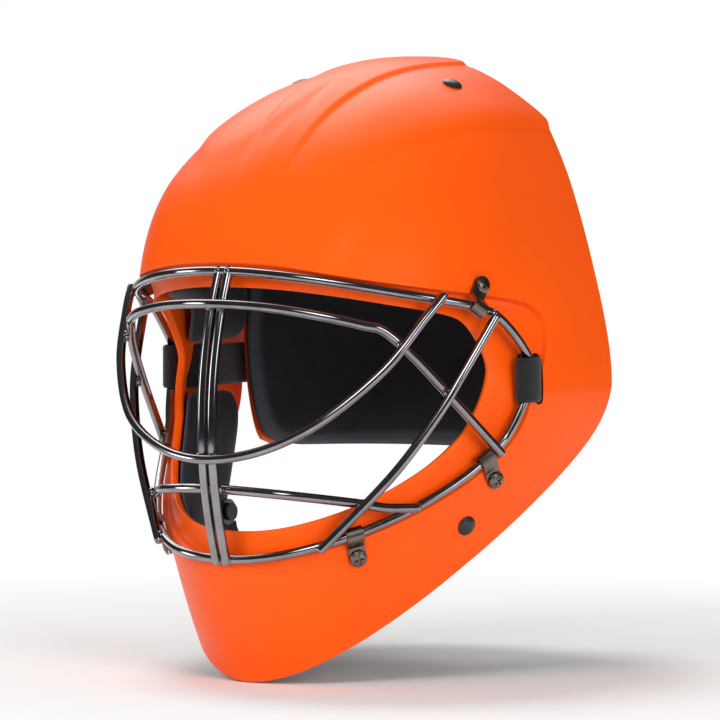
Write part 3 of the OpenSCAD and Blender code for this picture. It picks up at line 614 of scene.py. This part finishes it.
class Net:
    """The node tree of one new material or world with a single surface shader."""

    def __init__(self, name, group="materials", kind="Material"):
        self.owner = getattr(bpy.data, group).new(name)
        self.owner.use_nodes = True
        self.tree = self.owner.node_tree
        self.tree.nodes.clear()
        self.out = self.tree.nodes.new("ShaderNodeOutput" + kind)

    def make(self, kind, values, out=0, **settings):
        """A new node with its settings, its inputs' values or wires, and one output as a wire."""
        node = self.tree.nodes.new("ShaderNode" + kind)
        for key, value in settings.items():
            setattr(node, key, value)
        for key, value in values.items():
            if isinstance(value, Wire):
                self.tree.links.new(value.socket, node.inputs[key])
            else:
                node.inputs[key].default_value = value
        return Wire(self, node.outputs[out])

    def place(self):
        """Object coordinates in millimetres."""
        where = self.make("TexCoord", {}, "Object")
        return self.make("VectorMath", {0: where, "Scale": 1000.0}, operation="SCALE")

    def axis(self, vector, index):
        return self.make("SeparateXYZ", {0: vector}, index)

    def noise(self, grain, detail=2.0, rough=0.5, warp=0.0):
        """Noise whose lumps are about grain millimetres across, from 0 to 1."""
        values = {"Scale": 1.0 / grain, "Detail": detail, "Roughness": rough, "Distortion": warp}
        return self.make("TexNoise", {"Vector": self.place(), **values})

    def cells(self, grain):
        """Distance to the nearest of scattered points, for pores."""
        return self.make("TexVoronoi", {"Vector": self.place(), "Scale": 1.0 / grain})

    def attribute(self, name, out):
        return self.make("Attribute", {}, out, attribute_name=name)

    def mixed(self, factor, a, b):
        """Colour a where the factor is 0 and b where it is 1."""
        a, b = (c if isinstance(c, Wire) else (*c, 1) for c in (a, b))
        return self.make("Mix", {0: factor, 6: a, 7: b}, 2, data_type="RGBA")

    def bump(self, height, depth, below=None):
        """Bump of the given depth in millimetres for a height from 0 to 1."""
        values = {"Height": height, "Distance": depth * MM, "Strength": 1.0}
        if below is not None:
            values["Normal"] = below
        return self.make("Bump", values)

    def shaders(self, factor, a, b):
        return self.make("MixShader", {0: factor, 1: a, 2: b})

    def finish(self, shader):
        self.tree.links.new(shader.socket, self.out.inputs["Surface"])
        return self.owner

    def surface(self, **values):
        values = {k.replace("_", " "): v for k, v in values.items()}
        return self.finish(self.make("BsdfPrincipled", values))


def shade(c, k):
    return tuple(min(1.0, max(0.0, v * k)) for v in c)


def shell_material():
    """Satin moulded plastic: a faint orange-peel skin, fine scuffs, and edges rubbed paler."""
    net = Net("shell_plastic")
    c = tuple(colours().shell)
    peel = net.noise(1.4, 2.0)
    cloud = net.noise(45, 3.0)
    scuff = net.noise(6, 6.0, 0.7, warp=1.5).clipped(0.58, 0.78)
    edge = net.attribute("edge", "Fac") * net.noise(9, 4.0).clipped(0.3, 0.7)
    base = net.mixed(cloud.clipped(0.35, 0.65), shade(c, 0.965), c)
    base = net.mixed(edge * 0.22, base, (1.0, 0.22, 0.05))
    rough = 0.36 + 0.05 * cloud + 0.06 * scuff + 0.05 * edge
    normal = net.bump(peel, 0.018, net.bump(net.noise(9, 2.0), 0.05))
    return net.surface(Base_Color=base, Roughness=rough, Normal=normal, IOR=1.46, Specular_IOR_Level=0.3)


def foam_material():
    """Closed-cell foam: fine pores under a thin skin, with soft wrinkles, and a painted highlight on the
    bevel marked as its edge.
    """
    net = Net("liner_foam")
    c = tuple(colours().foam)
    pores = net.cells(0.9).clipped(0.05, 0.55)
    soft = net.noise(14, 3.0)
    dust = net.noise(2.4, 4.0, 0.65).clipped(0.55, 0.85)
    base = net.mixed(soft.clipped(0.3, 0.7), shade(c, 0.8), shade(c, 1.25))
    base = net.mixed(dust * 0.35, base, shade(c, 2.1))
    # Painted highlight: the bevel marked as the edge is painted up to five times lighter, where a pad's edge
    # would catch the light
    base = net.mixed(net.attribute("edge", "Fac") * (0.75 + 0.25 * soft), base, shade(c, 5.0))
    normal = net.bump(pores, 0.09, net.bump(soft, 0.5))
    return net.surface(Base_Color=base, Roughness=0.78 - 0.12 * pores, Normal=normal, Sheen_Weight=0.12,
                       Sheen_Roughness=0.4)


def metal_material(name, c, rough, grain, depth, dark):
    """Plated steel: a thin uneven plating with darker clouds, faint drawing lines and dull spots."""
    net = Net(name)
    cloud = net.noise(12, 3.0)
    spots = net.noise(2.2, 5.0, 0.7).clipped(0.6, 0.8)
    base = net.mixed(cloud.clipped(0.3, 0.7), tuple(c), shade(c, dark))
    normal = net.bump(net.noise(grain, 2.0), depth)
    rough = rough + 0.1 * spots + 0.05 * cloud
    return net.surface(Base_Color=base, Metallic=1.0, Roughness=rough, Normal=normal)


def web_material():
    """Elastic webbing: warp ribs along the strap, weft rows across it, and a plain woven edge, with painted
    shade in the grooves and a painted highlight on the raised yarns.
    """
    net = Net("webbing")
    c = tuple(colours().web)
    weave = net.attribute("weave", "Vector")
    across, along = net.axis(weave, 0), net.axis(weave, 1)
    rib = (across * (2 * math.pi / 1.1)).maths("SINE")
    row = (along * (2 * math.pi / 0.85) + rib * 1.3).maths("SINE")
    height = 0.5 + 0.28 * rib + 0.22 * row
    fibre = net.noise(0.35, 2.0)
    # Painted shade and highlight: the weave's height darkens its grooves and lightens its raised yarns
    base = net.mixed(height.clipped(0.1, 0.95), shade(c, 0.55), shade(c, 2.0))
    base = net.mixed(fibre.clipped(0.55, 0.8) * 0.4, base, shade(c, 3.2))
    normal = net.bump(height, 0.32, net.bump(fibre, 0.06))
    return net.surface(Base_Color=base, Roughness=0.62 + 0.2 * fibre, Normal=normal, Sheen_Weight=0.25,
                       Sheen_Roughness=0.45)


def nylon_material(name, c, rough):
    """Moulded plastic with a fine spark-eroded grain and light handling marks."""
    net = Net(name)
    grain = net.noise(0.5, 2.0)
    marks = net.noise(5, 6.0, 0.7, warp=2.0).clipped(0.6, 0.8)
    base = net.mixed(marks * 0.5, tuple(c), shade(c, 2.2))
    rough = rough + 0.12 * grain + 0.08 * marks
    return net.surface(Base_Color=base, Roughness=rough, Normal=net.bump(grain, 0.035))


MATERIALS = {}


def material(key):
    """Each material is made once, when it is first asked for."""
    if key not in MATERIALS:
        c = colours()
        makers = {
            "shell": shell_material,
            "foam": foam_material,
            "web": web_material,
            "wire": lambda: metal_material("cage_plating", c.wire, 0.07, 3.0, 0.01, 0.75),
            "clip": lambda: metal_material("clip_plating", c.clip, 0.26, 0.8, 0.012, 0.65),
            "screw": lambda: metal_material("screw_plating", c.screw, 0.3, 0.5, 0.014, 0.6),
            "nylon": lambda: nylon_material("moulded_nylon", c.nylon, 0.42),
            "stud": lambda: nylon_material("stud_enamel", c.stud, 0.2),
            "cup": lambda: nylon_material("cup_plastic", shade(c.nylon, 1.3), 0.5),
        }
        MATERIALS[key] = makers[key]()
    return MATERIALS[key]


# Operators, one for each piece or group of like pieces


def dressed(node, key, bevel):
    """A CAD node that stays gets its material, soft shading and a small bevel."""
    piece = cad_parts[node]
    soften(piece.data, key)
    edges = piece.modifiers.new("edges", "BEVEL")
    edges.width, edges.segments = bevel * MM, 2
    edges.limit_method, edges.angle_limit, edges.harden_normals = "ANGLE", math.radians(40), False


def studio_world():
    """White to the camera, an even glow for diffuse light, and dark with soft boxes in reflections."""
    net = Net("studio", "worlds", "World")
    way = net.make("TexCoord", {}, "Generated")
    mirror = MIRROR + MIRROR_RISE * net.axis(way, 2)
    for place, low, high, power in SOFT_BOXES:
        near = net.make("VectorMath", {0: way, 1: place}, "Value", operation="DOT_PRODUCT")
        mirror = mirror + power * near.clipped(low, high) ** 1.5
    glow = GLOW + GLOW_RISE * net.axis(way, 2)
    path = lambda kind: net.make("LightPath", {}, kind)
    sky = lambda strength: net.make("Background", {"Strength": strength, "Color": (1, 1, 1, 1)})
    lit = net.shaders(path("Is Glossy Ray"), sky(glow), sky(mirror))
    return net.finish(net.shaders(path("Is Camera Ray"), lit, sky(1.0)))


class HELMET_OT_stage(bpy.types.Operator):
    """Camera at the photograph's angle, a pale floor and soft studio light"""

    bl_idname = "helmet.stage"
    bl_label = "Stage"

    def execute(self, context):
        scene = context.scene
        az, el = math.radians(AZIMUTH), math.radians(ELEVATION)
        back = np.array([math.sin(az) * math.cos(el), -math.cos(az) * math.cos(el), math.sin(el)])
        data = bpy.data.cameras.new("photo")
        data.lens, data.sensor_width, data.clip_start, data.clip_end = LENS, 36, 0.05, 60
        scene.camera = add_object("photo", data)
        scene.camera.location = np.array(AIM) + DISTANCE * back
        scene.camera.rotation_euler = (math.pi / 2 - el, 0, az)
        scene.view_settings.view_transform = "Standard"
        scene.view_settings.look = "None"
        scene.world = studio_world()
        for name, place, aim, sides, power in LAMPS:
            light = bpy.data.lights.new(name, "AREA")
            light.shape, light.size, light.size_y, light.energy = "RECTANGLE", *sides, power
            lamp = add_object(name, light)
            lamp.location = place
            x, y, z = np.array(aim) - np.array(place)
            lamp.rotation_euler = (math.atan2(math.hypot(x, y), -z), 0, math.atan2(-x, y))
            lamp.visible_camera = lamp.visible_glossy = False
        self.floor()
        return {"FINISHED"}

    def floor(self):
        """A round floor just below the helmet, matt in the middle and fading to plain white."""
        low, n, m = cad_box[0].z / MM - FLOOR_GAP, len(FLOOR_RINGS), FLOOR_SIDES
        r, a = np.array(FLOOR_RINGS, float)[:, None], turn(m)
        rings = np.stack([r * cosd(a), r * sind(a), np.full((n, m), low)], -1)
        points = np.concatenate([rings.reshape(-1, 3), [[0, 0, low]]])
        j = np.arange(m)
        middle = np.stack([np.full(m, n * m), (j + 1) % m, j], 1)
        mesh = write_mesh("floor", points, grid_faces(n, m, False, True)[:, ::-1], middle)
        net = Net("pale_floor")
        away = net.make("VectorMath", {0: net.place()}, "Value", operation="LENGTH")
        matt = net.make("BsdfDiffuse", {"Color": (0.9, 0.9, 0.9, 1)})
        glow = net.make("Emission", {"Color": (1, 1, 1, 1), "Strength": 1.0})
        mesh.materials.append(net.finish(net.shaders(away.clipped(*FLOOR_FADE), matt, glow)))
        add_object("floor", mesh)


class HELMET_OT_shell(bpy.types.Operator):
    """The moulded shell with its stepped lip, flange, rounded edges and harness slots"""

    bl_idname = "helmet.shell"
    bl_label = "Shell"

    def slot_cutter(self, x, y, way):
        """A pair of stadium prisms through the flange or through the step, with their faces outwards."""
        w, a = SLOT_W / 2, turn(32)
        high = (sizes().harness_w + SLOT_ROOM - SLOT_W) / 2
        oval = np.stack([w * cosd(a), w * sind(a) + np.sign(sind(a)) * high], 1)
        along, side = np.array([cosd(way), sind(way), 0]), np.array([-sind(way), cosd(way), 0])
        section = np.array([x, y, STRAP_Z]) + oval[:, :1] * side + oval[:, 1:] * np.array([0, 0, 1.0])
        rings = np.array([section + along * k for k in (-SLOT_RUN, SLOT_RUN)])
        points, quads, tris = close_ends(rings, rings[0].mean(0), rings[1].mean(0))
        both = joined([(points, quads, tris), (mirrored(points), quads[:, ::-1], tris[:, ::-1])])
        mesh = write_mesh("slot_cutter", *both)
        faces = bmesh.new()
        faces.from_mesh(mesh)
        bmesh.ops.recalc_face_normals(faces, faces=faces.faces)
        faces.to_mesh(mesh)
        faces.free()
        return add_object("slot_cutter", mesh)

    def rows(self, form, t):
        """Closed stack of paths round the face, with the share of wear, and the rows that are corners."""
        s = form.s
        lip, edge = form.lip_tilt(t), form.edge_tilt(t)
        share = np.linspace(0, 1, SHELL_ROWS) ** 1.08
        outer = [form.on_shell(t, mix(lip, edge, f)) for f in share]
        normals = [form.normal(p) for p in outer]
        faired = [p - form.hollow(p)[:, None] * n for p, n in zip(outer, normals)]
        opening = form.opening_at(t)
        run = form.opening_at(t + 1) - form.opening_at(t - 1)
        lean = unit(np.cross(run, unit(form.ring_at(t) - opening + np.array([0, 5.0, 0]))))
        lean = np.where(lean[:, 1:2] > 0, -lean, lean)
        corner = outer[0] - s.step_depth * normals[0] + FLANGE_IN * unit(opening - outer[0])
        flange = [mix(opening, corner, f) for f in (0.25, 0.5, 0.75)]
        inner = [outer[k] - s.wall * normals[k] for k in range(len(outer) - 1, 3, -3)]
        back = [p - s.wall * lean for p in (corner, *flange[::-1], opening)]
        rows = [opening, *flange, corner, *faired, *inner, *back]
        first = len(flange) + 2
        last = first + len(outer) - 1
        rubbed = LIP_WEAR * np.exp(-((share * 260 / LIP_WEAR_LENGTH) ** 2))
        wear = np.array([LIP_WEAR, *[0.0] * (first - 1), *rubbed, *[0.0] * (len(inner) + len(back))])
        wear[[last, last + 1]] = EDGE_WEAR
        rows = [np.column_stack([p, np.full(len(t), w)]) for p, w in zip(rows, wear)]
        return rows, [0, first - 1, first, last, last + 1, len(rows) - 1]

    def execute(self, context):
        fine = np.linspace(0, 360, 3601)
        dense = 1 + 1.2 * (sind((fine[1:] + fine[:-1]) / 2) > 0.5)
        total = np.concatenate([[0], np.cumsum(dense)])
        t = np.interp(np.linspace(0, total[-1], SHELL_TURNS, endpoint=False), total, fine)
        grid = np.array(rounded(*self.rows(Form(), t), SHELL_ROUNDING, 7))
        marks = {"edge": grid[..., 3].ravel()}
        parts = grid[..., :3].reshape(-1, 3), grid_faces(len(grid), len(t), True, True), None, marks
        piece = add_piece("helmet_shell", parts, None, "shell")
        cutters = [self.slot_cutter(*place) for place in SLOTS]
        for cutter in cutters:
            cut = piece.modifiers.new("slot", "BOOLEAN")
            cut.object, cut.operation, cut.solver = cutter, "DIFFERENCE", "EXACT"
        context.view_layer.update()
        done = bpy.data.meshes.new_from_object(piece.evaluated_get(context.evaluated_depsgraph_get()))
        piece.modifiers.clear()
        piece.data = done
        done.name = "helmet_shell"
        soften(done, "shell")
        for cutter in cutters:
            bpy.data.objects.remove(cutter)
        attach(piece, "helmet")
        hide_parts("shell")
        return {"FINISHED"}


class HELMET_OT_back_plate(bpy.types.Operator):
    """The back plate, a superellipsoid layer with a rounded edge"""

    bl_idname = "helmet.back_plate"
    bl_label = "Back plate"

    def execute(self, context):
        form, a = Form(), -turn(240)
        wall, r = form.s.plate_wall, np.linspace(0, 1, 40)[1:]
        ends = form.plate_tilt(a, 0, PLATE_FRONT_Y, -form.s.plate_low, PLATE_SOFT)
        outer, inner = ([form.plate_at(a, f * ends, lift) for f in r] for lift in (0, -wall))
        poles = (form.plate_at(0, 0.0, lift) for lift in (0, -wall))
        points, quads, tris = capped_layer(outer, inner, *poles, PLATE_ROUNDING, 5)
        wear = np.zeros(len(points))
        wear[(len(r) - 1) * len(a): (len(r) + 9) * len(a)] = EDGE_WEAR
        parts = points, quads, tris, {"edge": wear}
        add_piece("rear_plate", parts, "back", "shell", ("back_plate",))
        return {"FINISHED"}


def in_square(r, a, power):
    """Place in a rounded square, from its middle, r = 0, to its edge, r = 1."""
    k = r / (abs(cosd(a)) ** power + abs(sind(a)) ** power) ** (1 / power)
    return 0.5 + 0.5 * k * cosd(a), 0.5 + 0.5 * k * sind(a)


def through3(v, u):
    """The parabola through three even values."""
    return v[0] * (1 - u) * (1 - 2 * u) + v[1] * 4 * u * (1 - u) + v[2] * u * (2 * u - 1)


def foam_layer(outer, inner, pole_out, pole_in, radius):
    """A capped layer whose bevel towards the inner face is marked as its edge, where the foam material
    paints a highlight.
    """
    steps = 6
    points, quads, tris = capped_layer(outer, inner, pole_out, pole_in, radius, steps)
    count, first = len(outer[0]), len(outer) + steps - 2
    marks = np.zeros(len(points))
    marks[first * count: (first + steps + 2) * count] = 1.0
    return points, quads, tris, {"edge": marks}


def pad_parts(form, t0, t1, low, high, thick, lean=(0, 0, 0), gap=PAD_GAP, tuck=0.0):
    """A liner pad between two angles: it follows the shell outside and thins to a rounded edge."""
    a = turn(144)
    radii = np.array([0.12, 0.25, 0.4, 0.55, 0.68, 0.78, 0.86, 0.92, 0.96, 0.985, 1.0])

    def spot(r, a):
        u, v = in_square(r, a, PAD_POWER)
        t = mix(t0, t1, u)
        front = form.lip_tilt(t) + low if np.isscalar(low) else through3(low, u)
        back = through3(high, u)
        p = form.on_shell(t, mix(front, back, v))
        q = form.on_shell(t, mix(front - through3(lean, u), back, v))
        depth = form.s.wall + gap + tuck * (1 - v) ** 4
        foam = mix(thick[0], thick[1], u) * (0.5 + 0.5 * (1 - r**5))
        return p - depth[..., None] * form.normal(p), q - (depth + foam)[..., None] * form.normal(q)

    outer, inner = zip(*(spot(r, a) for r in radii))
    mid_out, mid_in = spot(0.0, np.zeros(1))
    return foam_layer(outer, inner, mid_out[0], mid_in[0], PAD_ROUNDING)


class HELMET_OT_liner(bpy.types.Operator):
    """The foam liner: forehead, crown, temple, cheek and chin guard pads, and the pad of the back plate"""

    bl_idname = "helmet.liner"
    bl_label = "Liner"

    def execute(self, context):
        form = Form()
        s = form.s
        pads = {
            "forehead": (148, 32, 5.5, (80, 64, 80), (s.forehead_foam,) * 2, (0, 0, 0), PAD_GAP, 5.0),
            "crown": (143, 37, (84, 67, 84), (107, 103, 107), (s.crown_foam,) * 2, (0, 0, 0), 5.6),
            "chin_guard": (-64, -116, 4.5, (68, 57.5, 68), (10, 10)),
        }
        for name, values in pads.items():
            parts = pad_parts(form, *values)
            add_piece(f"{name}_foam", parts, "helmet", "foam", (f"{name}_pad",))
        sides = {
            "temple": (30, 5.5, 9.4, (105.5, 108, 108), (s.temple_foam,) * 2, (17, 26, 27.5)),
            "cheek": (-10.2, -61, 6.5, (109.5, 95, 69), (s.temple_foam, s.jaw_foam), (17.5, 15.5, 10.5)),
        }
        for name, values in sides.items():
            points, *rest = pad_parts(form, *values)
            for side, place in (("left", points), ("right", mirrored(points))):
                node = (f"{name}_pad_{side}",)
                add_piece(f"{name}_foam_{side}", (place, *rest), "helmet", "foam", node)
        a = -turn(180)
        r = np.array([0.08, 0.16, 0.26, 0.38, 0.5, 0.62, 0.73, 0.82, 0.89, 0.94, 0.975, 1.0])
        high, deep = -s.plate_wall - PLATE_PAD_GAP, -s.plate_wall - s.back_foam
        front, low = PLATE_FRONT_Y - PLATE_PAD_WRAP, -s.plate_low - PLATE_PAD_RISE
        ends = form.plate_tilt(a, high, front, low, PLATE_PAD_SOFT)
        outer = [form.plate_at(a, f * ends, high) for f in r]
        inner = [form.plate_at(a, f * ends, deep + 6 * f**8) for f in r]
        parts = foam_layer(outer, inner, *(form.plate_at(0, 0.0, lift) for lift in (high, deep)), 2.0)
        add_piece("rear_foam", parts, "back", "foam", ("back_pad",))
        return {"FINISHED"}


def cage_paths(form):
    """The centre lines of the cage wires at even steps of 2 mm."""
    s = form.s
    u = np.linspace(-1, 1, 90)
    half = (s.ring_up + s.ring_down) / 2 + 1
    top = MID[2] + s.ring_up + 1
    y = BAR_Y - BAR_BOW * (1 - u * u) - BAR_LEAN * u
    bar = np.stack([BAR_X + 0 * u, y, top - half * (1 + u)], 1)
    bent = lambda points: even(spline(points, 24), 2)
    diagonal = bent(DIAGONAL)
    return {
        "cage_ring": even(form.ring_at(np.arange(0, 360, 0.5)), 2, True),
        "cage_loop_bar": bent(both_sides(LOOP)),
        "cage_brow_bar": bent(both_sides(BROW)),
        "cage_lower_bar": bent(both_sides(LOWER)),
        "cage_centre_bar_left": bar,
        "cage_centre_bar_right": mirrored(bar),
        "cage_diagonal_left": diagonal,
        "cage_diagonal_right": mirrored(diagonal),
    }


class HELMET_OT_cage(bpy.types.Operator):
    """The welded wire cage: eight round wires and the small weld fillets where they touch"""

    bl_idname = "helmet.cage"
    bl_label = "Cage"

    def weld(self, p, q, along):
        """A fillet between two touching wires: an ellipsoid flattened along the line that joins them."""
        r = sizes().wire_r
        w = unit(q - p)
        a, b = turn(16)[None, :, None], np.linspace(-90, 90, 11)[1:-1, None, None]
        u = unit(along - (along @ w) * w)
        v = np.cross(w, u)
        mid = (p + q) / 2
        wide, high = WELD_WIDE * r, WELD_HIGH * r
        rings = mid + (cosd(b) * (wide * cosd(a) * u + wide * sind(a) * v) + high * sind(b) * w)
        return close_ends(rings, mid - high * w, mid + high * w)

    def execute(self, context):
        r, paths = sizes().wire_r, cage_paths(Form())
        for name, path in paths.items():
            parts = tube(path, r, name == "cage_ring")
            add_piece(f"wire_{name[5:]}", parts, "helmet", "wire", (name,))
        beads = []
        wires = list(paths.values())
        for i, p in enumerate(wires):
            for q in wires[i + 1:]:
                gap = np.linalg.norm(p[:, None] - q[None], axis=-1)
                while gap.min() < 2 * r + WELD_REACH:
                    k, m = np.unravel_index(gap.argmin(), gap.shape)
                    if gap[k, m] > WELD_BURIED:
                        beads.append(self.weld(p[k], q[m], directions(p)[k] + directions(q)[m]))
                    gap[np.linalg.norm(p - p[k], axis=1) < WELD_APART] = 1e9
        add_piece("wire_welds", joined(beads), "helmet", "wire")
        return {"FINISHED"}


class HELMET_OT_fasteners(bpy.types.Operator):
    """Clips, screws, nuts, studs, rivets, buckles, eyelets and sliders, which keep their solids"""

    bl_idname = "helmet.fasteners"
    bl_label = "Fasteners"

    def execute(self, context):
        for key, bevel, *nodes in (
            ("clip", 0.25, "temple_clips", "side_clips", "chin_clips"),
            ("screw", 0.12, "clip_screws", "clip_nuts"),
            ("screw", 0.15, "plate_rivets"),
            ("screw", 0.2, "chin_strap_eyelets"),
            ("stud", 0.2, "crown_studs", "jaw_studs"),
            ("nylon", 0.6, "harness_buckle_left", "harness_buckle_right"),
            ("nylon", 0.5, "chin_strap_slider_left", "chin_strap_slider_right"),
        ):
            for node in nodes:
                dressed(node, key, bevel)
        return {"FINISHED"}


class HELMET_OT_straps(bpy.types.Operator):
    """All webbing: harness loops, runs and tails, the rear strap, crown straps and chin straps"""

    bl_idname = "helmet.straps"
    bl_label = "Straps"

    def level(self, plan, width):
        """A path at strap height, its width upright, and that width."""
        path = even(spline([(x, y, STRAP_Z) for x, y in plan], 16), 0.8)
        return path, np.broadcast_to([0.0, 0.0, 1.0], path.shape), width

    def pair(self, name, node, path, across, width, body, bend=None):
        """A strap and its mirror image, on one body, or, where bend is given, on no body with its transform
        baked in.
        """
        for side, flip in (("left", 1), ("right", -1)):
            parts = strap_parts(path * [flip, 1, 1], across * [flip, 1, 1], width)
            piece = add_piece(f"{name}_{side}", parts, body, "web", (f"{node}_{side}",))
            if bend:
                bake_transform(piece)

    def execute(self, context):
        form = Form()
        s = form.s
        wide = s.harness_w - 1
        beside = lambda a: tuple(form.plate_at(0, 90.0 - a, WEB_LIFT)[:2])
        self.pair("web_loop", "harness_loop", *self.level(LOOP_PLAN, s.harness_w), "helmet")
        plan = [*RUN_PLAN, beside(RUN_END)]
        self.pair("web_run", "harness_strap", *self.level(plan, wide), None,
                  ((*plan[0], STRAP_Z), (*plan[-1], STRAP_Z)))
        tail, rear = ([beside(a) for a in np.arange(*angles)] for angles in (TAIL_ANGLES, REAR_ANGLES))
        self.pair("web_tail", "harness_tail", *self.level(tail, wide), "back")
        parts = strap_parts(*self.level(rear, wide))
        add_piece("web_rear", parts, "back", "web", ("harness_rear_strap",))
        seat = np.array([*CROWN_STUD, 0.0])
        seat[2] = form.reach(seat, np.array([0.0, 0.0, 1.0]))
        n = form.normal(seat)
        a = seat - (s.wall + 1.9) * n
        r = form.plate_at(CROWN_ANGLE, CROWN_TILT, 0)
        m = unit(form.plate_at(CROWN_ANGLE, CROWN_TILT, 4) - r)
        b = r + 1.6 * m
        bend = [a + [0, -5.5, -0.9], a, mix(a, b, 0.5) + [0, 0, 0.2], b, b + [0, 8, -0.2]]
        path = even(spline(bend, 16), 1.0)
        across = np.cross(mix(n, m, np.linspace(0, 1, len(path))[:, None]), [0.0, 1.0, 0.0])
        self.pair("web_crown", "crown_strap", path, across, CROWN_STRAP_W, None, (a, b))
        y, z = JAW_STUD_Y, JAW_STUD_Z
        bend = [(EYELET_X - dx, y, z - dz) for dx, dz in ((0, 5), (1.5, 10), (8, 20), (16, 30))]
        path = even(spline([*bend, (CUP_HALF_X + 1, y, z - CUP_DROP + 9.5)], 16), 1.0)
        across = np.broadcast_to([0.0, 1.0, 0.0], path.shape)
        self.pair("web_chin", "chin_strap", path, across, s.chin_strap_w, "chin_sling")
        return {"FINISHED"}


class HELMET_OT_chin_cup(bpy.types.Operator):
    """The chin cup, a shallow bowl, and its soft pad"""

    bl_idname = "helmet.chin_cup"
    bl_label = "Chin cup"

    def bowl(self, share, low, high, radius):
        """Rings of a rounded rectangle on a paraboloid, curved less along X than along Y."""
        a = turn(120)
        radii = np.array([0.12, 0.25, 0.4, 0.55, 0.7, 0.82, 0.9, 0.96, 1.0]) * share

        def at(r, a, lift):
            u, v = in_square(r, a, CUP_POWER)
            x, y = (u - 0.5) * 2 * CUP_HALF_X, (v - 0.5) * 2 * CUP_HALF_Y
            z = JAW_STUD_Z - CUP_DROP + x * x / 110 + y * y / 42 + lift
            return np.stack([x, JAW_STUD_Y + y, z], -1)

        outer, inner = [at(r, a, low) for r in radii], [at(r, a, high(r / share)) for r in radii]
        zero = np.zeros(1)
        return capped_layer(outer, inner, at(0.0, zero, low)[0], at(0.0, zero, high(0.0))[0], radius, 6)

    def execute(self, context):
        parts = self.bowl(1.0, 0.0, lambda r: 2.4, CUP_ROUNDING)
        add_piece("cup_shell", parts, "chin_sling", "cup", ("chin_cup",))
        parts = self.bowl(0.9, 2.7, lambda r: 7 - 1.3 * r**6, CUP_FOAM_ROUNDING)
        add_piece("cup_foam", parts, "chin_sling", "foam", ("chin_cup_pad",))
        return {"FINISHED"}


OPERATORS = (
    HELMET_OT_stage, HELMET_OT_shell, HELMET_OT_back_plate, HELMET_OT_liner, HELMET_OT_cage,
    HELMET_OT_fasteners, HELMET_OT_straps, HELMET_OT_chin_cup,
)


class HELMET_PT_panel(bpy.types.Panel):
    """Lists the steps in order"""

    bl_idname = "HELMET_PT_panel"
    bl_label = "Helmet"
    bl_space_type = "VIEW_3D"
    bl_region_type = "UI"
    bl_category = "Helmet"

    def draw(self, context):
        for step in OPERATORS:
            self.layout.operator(step.bl_idname)


CLASSES = (HelmetSizes, HelmetColours, *OPERATORS, HELMET_PT_panel)


def register():
    for cls in CLASSES:
        bpy.utils.register_class(cls)
    bpy.types.Scene.helmet_sizes = bpy.props.PointerProperty(type=HelmetSizes)
    bpy.types.Scene.helmet_colours = bpy.props.PointerProperty(type=HelmetColours)


def unregister():
    del bpy.types.Scene.helmet_colours
    del bpy.types.Scene.helmet_sizes
    for cls in reversed(CLASSES):
        bpy.utils.unregister_class(cls)


def main():
    register()
    bpy.ops.helmet.stage()
    bpy.ops.helmet.shell()
    bpy.ops.helmet.back_plate()
    bpy.ops.helmet.liner()
    bpy.ops.helmet.cage()
    bpy.ops.helmet.fasteners()
    bpy.ops.helmet.straps()
    bpy.ops.helmet.chin_cup()


if __name__ == "__main__":
    main()
